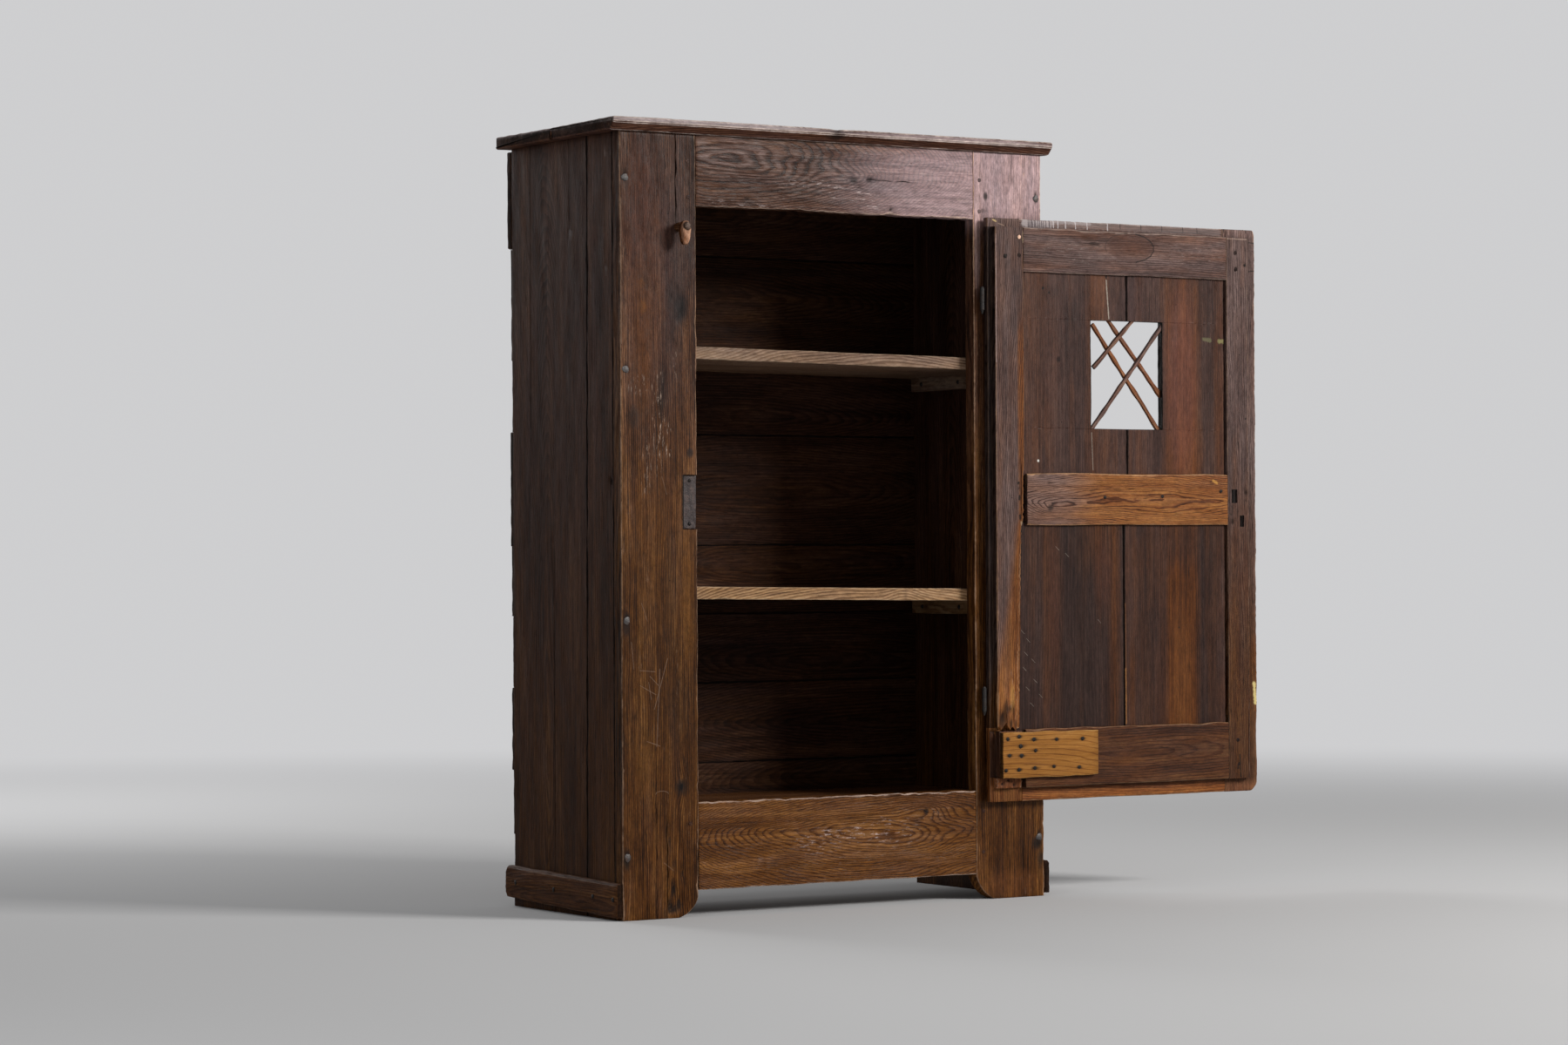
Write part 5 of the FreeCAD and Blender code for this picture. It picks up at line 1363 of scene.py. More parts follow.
def make_hinge_stile():
    """The door's hinge stile: torn along its inner edge, broken off ragged at its foot."""
    box = room("door_hinge_stile")
    lip, edge = box["x"]
    z0, z1 = box["z"]
    raised_x = 891.5
    front, lip_front, back = door_y(DOOR_DEPTH), door_y(LIP_DEPTH), door_y(0)
    torn_z = (361, 560, 784, 796, 899, 905)
    torn_x = (942, 947, 955, 960.5, 961.5, 964)
    ragged = Ripple(33, 17)

    def corners(z):
        torn = np.interp(z, torn_z, torn_x)
        torn = np.where(z < 905, torn + 1.2 * ragged(z) * smooth(z, 905, 880), edge)
        full = (z > STILE_BREAK) & (z < RAISED_TOP)
        face = np.where(full, front, lip_front - 0.15)
        inner = np.where(full, torn, edge)
        return [(np.where(full, raised_x, lip + 10.5), face), (inner, face), (edge, lip_front - 0.1),
                (edge, back), (lip, back), (lip, lip_front),
                (np.where(full, raised_x, lip + 10.3), lip_front)]

    def splinters(z, x, y):
        raised = smooth(-y, -door_y(LIP_DEPTH) + 0.5, -door_y(DOOR_DEPTH) - 1)
        jag = 5 * Ripple(34, 9)(x) + 3 * Ripple(35, 3.5)(x)
        return jag * raised * bump(z - STILE_BREAK, 12)

    def torn_colour(z, x):
        torn = np.interp(z, torn_z, torn_x)
        border = 480 + 5.2 * (x - 892)
        low = 1 - smooth(z, border - 80, border + 60)
        near = np.exp(-np.clip(torn - x, 0, 100) / 4) * (z < 800)
        strip = smooth(x, 946, 952) * smooth(z, 780, 800) * (1 - smooth(z, 1150, 1290))
        return np.clip(0.1 + 0.95 * low + 0.7 * near + 0.95 * strip, 0, 1.1)

    def stile_tone(z, x):
        warm_here = torn_colour(z, x)
        darker = 0.1 * warm_here * smooth(z, 480, 560) + 0.2 * (z < 356)
        return 0.78 - darker + 0.15 * between(z, 380, 470, 30)

    # Painted shadow: the lip strip beside the raised frame is toned to a quarter, where the raised frame
    # shades it
    def behind(z, x, y):
        beside = (x < raised_x + 1.5) & (y > front + 3) & (z > STILE_BREAK) & (z < RAISED_TOP)
        return np.where(beside, 0.25, 1)

    make_board("hinge_stile_board", "door_hinge_stile", "door", "door_oak", materials["torn"], "zxy",
               (z0, z1), corners, radius=(2.4, 1.6, 0.6, 1.2, 1.4, 1.4, 0.6), spacing=(5, 4.5),
               steps=(STILE_BREAK, RAISED_TOP), shift=splinters, end=1.6, undulation=0.4, wander=0.2,
               cracks=((932, 361, 420, 0.9, 5), (914, 361, 430, 0.9, 5), (923, 361, 392, 0.8, 4),
                       (955.5, 795, 930, 0.9, 5), (941, 560, 760, 0.4, 2)),
               chips=((1, 700, 40, 2), (1, 500, 30, 3), (0, 420, 20, 4), (0, 380, 12, 5)),
               pits=((400, 925, 12, 5, 2.5), (430, 935, 16, 4, 2), (385, 905, 14, 5, 3),
                     (455, 912, 16, 4, 1.5)),
               stains=((1354, 917, 9, 5, 0.7), (385, 900, 26, 7, 0.7), (865, 950, 7, 5, 0.8),
                       (1240, 910, 6, 4, 0.5), (1190, 918, 5, 4, 0.5)),
               warm=torn_colour, tone=stile_tone, shade=behind, pith=(700, 1080, 30, 0.03e-3, 0.05, 4.4))
    make_rotten_stub()


def make_rotten_stub():
    """The rotted stump of the stile's foot, under the patch."""
    x0, x1, z0, z1 = 893, 955, 234, 256
    crumbled = Ripple(36, 11)

    def corners(z):
        return [(x0 + 2 * crumbled(z), door_y(22)), (x1 + 1.5 * crumbled(z + 50), door_y(22)),
                (x1, door_y(11.5)), (x0, door_y(11.5))]

    make_board("rotten_stile_end", (), "door", "door_oak", materials["door"], "zxy", (z0, z1), corners,
               radius=(2.2, 2.2, 0.5, 0.5), spacing=(2.2, 2.6), end=1.4, undulation=1.6, wander=0.8,
               pits=((243, 905, 4, 4, 3), (250, 922, 4, 5, 3), (240, 938, 4, 4, 3)),
               stains=((245, 912, 8, 8, 0.6), (241, 940, 8, 8, 0.6)), warm=0.8, tone=0.95)


def make_lock_stile():
    """The door's free stile with the two slots of its missing lock."""
    box = room("door_lock_stile")
    edge, lip = box["x"]
    z0, z1 = box["z"]
    raised_x = 1569.8
    front, lip_front, back = door_y(DOOR_DEPTH), door_y(LIP_DEPTH), door_y(0)
    steps = [RAISED_LOW, RAISED_TOP] + [z for slot in LOCK_SLOTS for z in slot[2:]]

    def corners(z):
        full = (z > RAISED_LOW) & (z < RAISED_TOP)
        face = np.where(full, front, lip_front - 0.15)
        outer = lip - 15 * np.clip(1 - (z - z0) / 20, 0, 1) ** 2 - 3 * np.clip(1 - (z1 - z) / 8, 0, 1)
        return [(edge, face), (raised_x, face), (raised_x + 0.2, lip_front), (outer, lip_front),
                (outer, back), (edge, back)]

    def lock_warmth(z, x):
        weathered = 0.4 * between(z, 330, 520, 60) * smooth(x, 1560, 1600)
        return 0.03 + 0.72 * (1 - smooth(z, 400, 1000)) + weathered

    lines = [x for slot in LOCK_SLOTS for x in slot[:2]]
    make_board("lock_stile_board", "door_lock_stile", "door", "door_oak", materials["lock"], "zxy",
               (z0, z1), corners, radius=(1.8, 2.4, 0.6, 3.2, 2, 1.2), spacing=(6, 5), steps=steps,
               end=2, undulation=0.4, wander=0.2, lines=lines, slots=LOCK_SLOTS, back_side=4,
               chips=((3, 300, 40, 4), (3, 1250, 20, 3), (3, 205, 20, 8), (3, 1435, 8, 4)),
               pits=((1383, 1536, 4, 4, 2), (1347, 1538, 4, 4, 2), (1356, 1562, 4, 4, 2),
                     (858, 1562, 7, 5, 2.5), (842, 1561, 5, 4, 2), (826, 1524, 4, 4, 2),
                     (812, 1521, 5, 4, 2), (795, 1524, 6, 4, 2), (838, 1512, 5, 3, 2)),
               stains=((1383, 1536, 6, 5, 0.8), (1347, 1538, 6, 5, 0.8), (1356, 1562, 6, 5, 0.8),
                       (858, 1562, 10, 6, 0.8), (842, 1561, 7, 5, 0.7), (826, 1524, 7, 5, 0.7),
                       (812, 1521, 7, 5, 0.7), (795, 1524, 8, 5, 0.7), (820, 1545, 60, 22, 0.25)),
               warm=lock_warmth,
               tone=lambda z, x: 0.32 + 0.46 * smooth(z, 450, 1150) + 0.3 * smooth(x, 1588, 1600)
               + 0.35 * smooth(z, 1416, 1424) + 0.35 * (1 - smooth(z, 216, 234)),
               pith=(820, 1430, 40, 0.02e-3, 0.004, 4))


def make_door_rails():
    """The three cross rails of the door."""
    x0 = room("door_hinge_stile")["x"][1] + 0.3
    x1 = room("door_lock_stile")["x"][0] - 0.3
    front, lip_front, back = door_y(DOOR_DEPTH), door_y(LIP_DEPTH), door_y(0)
    top, middle, bottom = (room(f"door_{name}_rail") for name in ("top", "mid", "bottom"))
    top_low = 1323

    def top_corners(x):
        return [(top_low, front), (RAISED_TOP, front), (RAISED_TOP, lip_front), (top["z"][1], lip_front),
                (top["z"][1], back), (top_low, back)]

    make_board("door_top_rail_board", "door_top_rail", "door", "door_oak", materials["kerfed"], "xzy",
               (x0, x1), top_corners, radius=(1.6, 3, 0.6, 2.4, 2, 1.2), spacing=FINE, end=1,
               undulation=0.45, wander=0.3,
               cracks=((1352, 1200, 1500, 0.3, 1.5), (1388, 1100, 1170, 0.5, 2, -0.08)),
               chips=[(3, x, 2.2, 4) for x in KERFS] + [(1, 1140, 30, 3), (1, 1225, 20, 2)],
               pits=((1137, 1396, 22, 7, 1.6), (1150, 1384, 14, 4, 1.2)),
               stains=((1137, 1392, 20, 4, 0.4), (1240, 1335, 5, 3, 0.7), (1090, 1365, 4, 3, 0.6)),
               warm=lambda x, z: 0.08 + 0.3 * bump(x - 1252, 40) * bump(z - 1385, 22),
               tone=lambda x, z: 0.92 + 0.25 * smooth(z, 1415, 1424),
               end_grime=0.8, pith=(1250, 1230, 30, 0.05e-3, 0.01, 4.4))

    def mid_corners(x):
        low, high = middle["z"]
        proud = door_y(DOOR_DEPTH + 1.5)
        return [(low, proud), (high, proud), (high, back), (low, back)]

    make_board("door_mid_rail_board", "door_mid_rail", "door", "door_oak", materials["tan"], "xzy",
               (x0 + 6, x1), mid_corners, radius=(2, 2.6, 1.2, 1.2), spacing=FINE, end=1.8,
               undulation=0.45, wander=0.5, chips=((1, 980, 14, 3), (1, 1250, 40, 2), (0, 975, 12, 3)),
               cracks=((815, 1310, 1510, 0.3, 1.2, 0.01),),
               stains=((1175, 847, 9, 5, 0.6), (1330, 849, 9, 5, 0.6), (1491, 861, 9, 5, 0.7),
                       (1470, 882, 16, 4, 0.35)),
               warm=lambda x, z: 0.22 + 0.78 * smooth(x, 1040, 1200),
               tone=lambda x, z: 0.9 + 0.1 * smooth(z, 870, 897) - 0.08 * smooth(x, 1040, 1200),
               knot=(1030, 824, 16),
               pith=(1330, 838, 14, 0.16e-3, 0.012, 3.8))

    def bottom_corners(x):
        high = 357 + 0.8 * Ripple(37, 120)(x)
        return [(RAISED_LOW, front), (high, front), (high, back), (bottom["z"][0], back),
                (bottom["z"][0], lip_front), (RAISED_LOW, lip_front)]

    make_board("door_bottom_rail_board", "door_bottom_rail", "door", "door_oak", materials["low_rail"], "xzy",
               (x0, x1), bottom_corners, radius=(2.4, 2.2, 1.2, 2, 3, 0.8), spacing=FINE, end=1,
               undulation=0.45, wander=0.4, chips=((1, 990, 12, 3), (1, 1430, 20, 3), (4, 1200, 30, 2)),
               warm=lambda x, z: 0.52 + 0.4 * (1 - smooth(z, 218, 240)),
               tone=lambda x, z: 0.5 + 0.5 * (1 - smooth(z, 220, 236)) + 0.25 * smooth(z, 350, 356),
               pith=(1400, 300, 16, 0.12e-3, 0.02, 5.4))


def make_panels():
    """Two boards in each door panel; the upper ones are cut for the window."""
    left_edge = room("door_hinge_stile")["x"][1]
    right_edge = room("door_lock_stile")["x"][0]
    front, lap_y, back = door_y(20), door_y(12), door_y(5)
    for level, z0, z1 in (("upper", 892, 1328), ("lower", 352, 793)):
        joint = room(f"door_panel_{level}_left")["x"][1]
        cut = level == "upper"

        def in_window(z, cut=cut):
            return cut & (z > WINDOW_Z[0]) & (z < WINDOW_Z[1])

        def left_corners(z, joint=joint, in_window=in_window):
            right = np.where(in_window(z), WINDOW_X[0], joint - 0.9)
            left = left_edge - 22 if level == "lower" else left_edge - 5
            return [(left, front), (right, front), (right, back), (left, back)]

        def right_corners(z, joint=joint, in_window=in_window):
            left = np.where(in_window(z), WINDOW_X[1], joint + 1.7)
            lap = np.where(in_window(z), WINDOW_X[1] - 0.2, joint - 1.6)
            right, tongue = right_edge - 3.2, right_edge + 4
            return [(left, front), (right, front), (right, lap_y), (tongue, lap_y),
                    (tongue, back), (lap, back), (lap, lap_y), (left, lap_y)]

        steps = WINDOW_Z if cut else ()
        make_board(f"{level}_left_panel_board", f"door_panel_{level}_left", "door", "panel_oak",
                   materials["panel"], "zxy", (z0, z1), left_corners, radius=(1.2, 1.5, 1, 1),
                   spacing=FINE, steps=steps, end=0.6, undulation=0.3, wander=0.15,
                   grime=(0.6, 0.8, 0.8, 0.6), stains=((1238, 1099, 26, 10, 0.35), (1290, 1020, 6, 5, 0.5),
                           (1280, 1035, 5, 4, 0.5), (1160, 970, 10, 6, 0.4)) if cut else (),
                   warm=warm_left_panel, tone=tone_left_panel,
                   knot=(1140, 1060, 12) if cut else NO_KNOT,
                   pith=(560, 1110, 26, 0.04e-3, 0.03, 6) if not cut else (1100, 820, 60, 0, 0.004, 4.6))
        make_board(f"{level}_right_panel_board", f"door_panel_{level}_right", "door", "panel_oak",
                   materials["panel"], "zxy", (z0, z1), right_corners,
                   radius=(1.5, 1.2, 0.4, 0.5, 0.5, 0.6, 0.1, 0.1), spacing=FINE, steps=steps, end=0.6,
                   undulation=0.3, wander=0.15,
                   grime=(0.8, 0.6, 0.9, 0.9, 0.6, 0.8, 0.9, 0.9),
                   warm=warm_right_panel, tone=tone_right_panel,
                   pith=(700, 1680, 60, 0, -0.004, 4.6))


def warm_left_panel(z, x):
    """Reddish streaks on the left panel boards."""
    upper = z > 850
    top = 0.3 * between(x, 975, 1035, 25) + 0.3 * between(x, 1140, 1200, 15)
    low = 0.3 * between(x, 1010, 1050, 14) + 0.55 * between(x, 1190, 1225, 12) \
        + 0.45 * between(x, 1130, 1180, 20) * smooth(z, 640, 760)
    return np.where(upper, top, low)


def tone_left_panel(z, x):
    """A dark grey flame up the middle of the lower board."""
    upper = z > 850
    flame = bump(x - 1115, 36 + 0.05 * np.clip(760 - z, 0, 500)) * (z < 850)
    return np.where(upper, 0.9 + 0.08 * smooth(z, 1200, 1320), 0.62) * (1 - 0.25 * flame)


def warm_right_panel(z, x):
    """Orange streaks on the right panel boards, strongest low on the lower one."""
    upper = z > 850
    top = (0.55 * between(x, 1345, 1455, 30) + 0.3 * between(x, 1480, 1500, 10)) \
        * (0.8 + 0.4 * (1 - smooth(z, 930, 1100)))
    low = 0.12 + 0.4 * between(x, 1320, 1430, 30) + 0.65 * between(x, 1352, 1425, 16) \
        * (1 - smooth(z, 640, 740)) + 0.4 * between(x, 1246, 1258, 6) * (1 - smooth(z, 480, 600))
    return np.where(upper, top, low)


def tone_right_panel(z, x):
    """A dark band beside the lock stile."""
    upper = z > 850
    band = 0.22 * between(x, 1430, 1490, 12) + 0.18 * between(x, 1270, 1310, 20) * (z < 850)
    return np.where(upper, 0.98, 0.76) - band


# Places (x, z) of the nails in the pine patch
PATCH_NAILS = ((908.6, 337.7), (937.9, 342.4), (976.4, 335.8), (1035.6, 334), (1104.5, 333.9),
               (942.3, 322.1), (980.7, 311.8), (912.8, 302.9), (944, 302), (904, 272.1),
               (937.4, 272.8), (978.2, 275.1), (1028.3, 277.2), (1094.8, 273.2))


def make_repairs():
    """The nailed pine patch and the block let in behind it."""
    box = room("door_patch_board")
    z0, z1 = box["z"]
    y0, y1 = box["y"]
    stains = [(x, z, 7.5 + 2 * (i % 3), 4.4, 1) for i, (x, z) in enumerate(PATCH_NAILS)]
    stains += [(x + 6 * (i % 3 - 1), z, 14, 2.8, 0.6) for i, (x, z) in enumerate(PATCH_NAILS)]
    # Painted shade: dark streaks at the patch's left end, standing in for its end face in shade
    stains += [(895, z, 3.5, 30, 0.9) for z in (270, 340)]

    def corners(x):
        low = z0 + 1.5 * smooth(x, 1100, 1146) + 0.8 * Ripple(41, 90)(x)
        high = z1 - 1 - 0.6 * Ripple(42, 130)(x)
        return [(low, y0), (high, y0), (high, y1), (low, y1)]

    make_board("patch_board", "door_patch_board", "door", "pine", materials["pine"], "xzy", box["x"], corners,
               radius=(1.8, 1.6, 0.8, 0.8), spacing=(3.2, 3), end=1.4, undulation=0.35, wander=0.2,
               chips=((0, 1010, 14, 2), (1, 930, 10, 1.5)), stains=stains,
               pits=[(x, z, 3.5, 3, 0.9) for x, z in PATCH_NAILS],
               tone=lambda x, z: 1 - 0.2 * smooth(x, 1128, 1146) - 0.12 * bump(z - z0, 6),
               warm=0, pith=(915, 400, 10, -0.30e-3, 0.02, 10))
    block = room("door_corner_block")
    step = 896.5
    thin = door_y(LIP_DEPTH + 0.6)
    front, back = door_y(DOOR_DEPTH), door_y(LIP_DEPTH)

    def block_corners(z):
        return [(block["x"][0], thin), (step, thin), (step, front), (block["x"][1], front),
                (block["x"][1], back), (block["x"][0], back)]

    # The shade darkens the block's step face and the lip beside it: painted shade beside the raised frame
    make_board("corner_block", "door_corner_block", "door", "door_oak", materials["door"], "zxy", block["z"],
               block_corners, radius=(1.2, 0.6, 1.6, 1.2, 0.8, 0.6), spacing=(6, 5), end=1.2,
               undulation=0.25, wander=0.4, warm=0.55, tone=0.8,
               shade=lambda z, x, y: np.where((x < step + 1.5) & (y > front + 2), 0.45, 1))


def tube_faces(bands, count, capped=True):
    """Quads round a tube of so many bands and sides, with a cap on each end."""
    faces = []
    for i in range(bands):
        low, high = i * count, (i + 1) * count
        for j in range(count):
            after = (j + 1) % count
            faces.append((low + j, low + after, high + after, high + j))
    if capped:
        faces += [tuple(range(count))[::-1], tuple(range(bands * count, (bands + 1) * count))]
    return faces


def slat_mesh(start, end, y0, y1, width, name, warm):
    """One thin split slat, flat on its back and uneven in width."""
    start, end = np.array(start, float), np.array(end, float)
    length = np.linalg.norm(end - start)
    unit = (end - start) / length
    side = np.array((unit[1], -unit[0]))
    wobble = Ripple(seed_of(name), 60)
    bend = Ripple(seed_of(name) + 5, 200)
    stations = np.linspace(0, length, max(8, int(length / 6)))
    points, wear = [], []
    for s in stations:
        half = width / 2 * (1 + 0.16 * wobble(s))
        middle = start + unit * s + side * 0.8 * bend(s)
        for share, y, worn in ((-1, y1, 0.1), (-1, y0 + 1.3, 0.4), (-0.82, y0, 0.6),
                               (0.82, y0, 0.6), (1, y0 + 1.3, 0.4), (1, y1, 0.1)):
            x, z = middle + side * (half * share)
            points.append((x, y + 0.3 * wobble(s + 30), z))
            wear.append(worn)
    return np.array(points), tube_faces(len(stations) - 1, 6), np.array(wear), warm


def joined_mesh(name, parts):
    """Several closed bodies as one mesh."""
    points, faces, wear, warm = [], [], [], []
    for part_points, part_faces, part_wear, part_warm in parts:
        start = sum(len(p) for p in points)
        points.append(part_points)
        faces += [tuple(v + start for v in face) for face in part_faces]
        wear.append(part_wear)
        warm.append(part_warm + 0 * part_wear)
    points = np.concatenate(points)
    mesh = bpy.data.meshes.new(name)
    mesh.from_pydata((points * MM + ORIGIN).tolist(), [], faces)
    facing_out(mesh)
    return mesh, points, np.concatenate(wear), np.concatenate(warm)


def make_lattice():
    """Two pairs of crossed slats in the window, the outer pair behind the inner one."""
    inner = (((1159, 1128.4), (1257.9, 1224.2)), ((1153.4, 996.1), (1340.7, 1218.8)))
    outer = (((1160.2, 1212.6), (1332.7, 994.7)), ((1200, 1226.7), (1342.7, 1064.6)))
    meeting, thick, width, run_in = door_y(12.5), 6, 8.8, 6
    for name, lines, y0, warm in (("inner", inner, meeting - thick, 0.15), ("outer", outer, meeting, 0.75)):
        parts, alongs, acrosses = [], [], []
        for number, (a, b) in enumerate(lines):
            a, b = np.array(a), np.array(b)
            unit = (b - a) / np.linalg.norm(b - a)
            parts.append(slat_mesh(a - unit * run_in, b + unit * run_in, y0 + 0.1, y0 + thick - 0.1, width,
                                   f"{name}_slat_{number}", warm))
            flat = parts[-1][0][:, (0, 2)]
            alongs.append(flat @ unit)
            acrosses.append(flat @ np.array((unit[1], -unit[0])))
        mesh, points, wear, warmth = joined_mesh(f"{name}_slats", parts)
        grain_data(mesh, np.concatenate(alongs), np.concatenate(acrosses), points[:, 1], 61, STRAIGHT,
                   NO_KNOT, wear, 0 * wear, warmth, 1 + 0 * wear)
        finished(mesh, f"{name}_slats", "door", materials["door"], [f"lattice_slats_{name}"])


def lathe(profile, centre, axis, count=14, seed=0, rough=0):
    """A closed round body: (distance along the axis, radius) pairs turned about a line."""
    axis = np.array(axis, float)
    helper = np.array((0, 0, 1)) if abs(axis[2]) < 0.5 else np.array((1, 0, 0))
    side = np.cross(axis, helper)
    other = np.cross(axis, side)
    uneven = Ripple(seed, 2.2, 1.4, 5)
    points = []
    for distance, radius in profile:
        for i in range(count):
            angle = 2 * math.pi * i / count
            r = radius * (1 + rough * uneven(angle, distance))
            turned = side * math.cos(angle) + other * math.sin(angle)
            points.append(np.array(centre) + axis * distance + turned * r)
    return np.array(points), tube_faces(len(profile) - 1, count), np.zeros(len(points)), 0


def nail_head(centre, outward, radius, height, seed):
    """A forged nail: a low hammered head over a short shank."""
    profile = ((-8, 1.2), (-0.4, 1.6), (-0.3, radius * 0.94), (height * 0.3, radius),
               (height * 0.62, radius * 0.8), (height * 0.9, radius * 0.42), (height, radius * 0.12))
    return lathe(profile, centre, outward, 12, seed, 0.16)


def make_nails():
    """All the forged nails, a group for each job, as in the frame."""
    left, right = 11.6, 1024
    front = [((x, 0, z), (0, -1, 0), 7.4) for z in NAIL_HEIGHTS for x in (left, right)]
    patch_y, face_y = door_y(DOOR_DEPTH + 12), door_y(DOOR_DEPTH)
    door = [((x, patch_y + 0.4, z), (0, -1, 0), 3.8 + 0.5 * (i % 3)) for i, (x, z) in enumerate(PATCH_NAILS)]
    door += [((917.3, face_y, 1354), (0, -1, 0), 3.6), ((1562, face_y, 1356), (0, -1, 0), 2.4)]
    door += [((x, face_y - 1.5, z), (0, -1, 0), 3.8) for x, z in ((1175, 847), (1330, 849), (1491, 861))]
    levels = [room(f"back_plank_{n}")["z"] for n in range(1, 9)]
    back_y = room("back_plank_1")["y"][1]
    back = [((x, back_y, z0 + (z1 - z0) * share), (0, 1, 0), 5) for z0, z1 in levels for share in (0.25, 0.75)
            for x in (17, 1020)]
    top_z = room("top_board_front")["z"][1] - 2.6
    tops = [((x, y, top_z), (0, 0, 1), 4.6) for x in (12, 1025) for y in (70, 190, 300, 405)]
    tops += [((x, 15, top_z), (0, 0, 1), 4.6) for x in (60, 250, 520, 790, 980)]
    plinth = []
    for y in (15, 95, 255, 415):
        z = 42 + y * 10 / 460
        plinth += [((-14, y, z), (-1, 0, 0), 4.8), ((1051, y, z), (1, 0, 0), 4.8)]
    keeper = [((162.1, 4.5, z), (0, -1, 0), 3.6) for z in (791, 878)]
    for name, body, heads, height, finish in (
            ("front_nails", "carcass", front, 2.2, "iron"), ("door_nails", "door", door, 1.3, "dark_iron"),
            ("back_nails", "carcass", back, 1.9, "iron"), ("top_nails", "carcass", tops, 1.4, "iron"),
            ("plinth_nails", "carcass", plinth, 1.9, "dark_iron"),
            ("keeper_nails", "carcass", keeper, 1.4, "dark_iron")):
        parts = [nail_head(np.array(centre, float), np.array(out, float), radius, height, 100 + i)
                 for i, (centre, out, radius) in enumerate(heads)]
        mesh, *_ = joined_mesh(name + "_heads", parts)
        finished(mesh, name + "_heads", body, materials[finish], [name])


def make_pegs():
    """Oak pegs, a little proud and uneven."""
    frame_pegs = ((158, 1521), (160, 1449), (878, 1515), (877, 1449),
                  (158, 188), (159, 98), (880, 186), (879, 100))
    door_pegs = ((953.7, 1395.8), (953.5, 1357), (1536, 1383), (1538, 1347), (1536, 318), (1537, 266))
    for name, body, slot, places, y0, y1, material, worn in (
            ("joint_pegs", "carcass", "carcass_oak", frame_pegs, 0, 30, materials["front"], 0.3),
            ("door_pegs", "door", "door_oak", door_pegs, door_y(DOOR_DEPTH), door_y(0),
             materials["door"], 0.2)):
        parts = []
        for number, (x, z) in enumerate(places):
            light = name == "door_pegs" and number == 0
            profile = ((-0.45, 3.4), (-0.35, 4.1), (0.3, 4.5), (y1 - y0, 4.5))
            points, faces, wear, _ = lathe(profile, (x, y0, z), (0, 1, 0), 12, number, 0.07)
            parts.append((points, faces, wear + (1 if light else worn), 0 if light else 0.3))
        mesh, points, wear, warmth = joined_mesh(name + "_ends", parts)
        tone = np.where(wear > 0.9, 3, 0.12) if name == "door_pegs" else 0 * wear + 0.62
        grain_data(mesh, points[:, 1], points[:, 0], points[:, 2], 63, STRAIGHT, NO_KNOT, wear, 0 * wear,
                   warmth, tone)
        finished(mesh, name + "_ends", body, material, [name])


def make_keeper():
    """The keeper plate, slightly bent and pitted."""
    box = room("lock_keeper")
    x0, x1 = box["x"]
    y0, y1 = box["y"]
    uneven = Ripple(51, 40)

    def corners(z):
        left = x0 + 0.9 * uneven(z)
        return [(left, y0 - 0.6), (x1 - 0.4, y0 - 0.6), (x1 - 0.4, y1), (left, y1)]

    board = Board("keeper_plate", "zxy", box["z"], corners, radius=(0.6, 0.9, 0.3, 0.3), spacing=(3, 3),
                  end=1, undulation=0.6, wander=0.7,
                  pits=((806, 152, 6, 4, 1), (845, 170, 8, 4, 1), (868, 155, 8, 5, 1),
                        (830, 160, 6, 5, 1), (795, 168, 5, 5, 1)))
    mesh = bpy.data.meshes.new("keeper_plate")
    mesh.from_pydata(board.coordinates().tolist(), [], board.faces(()))
    facing_out(mesh)
    finished(mesh, "keeper_plate", "carcass", materials["grey_iron"], ["lock_keeper"])


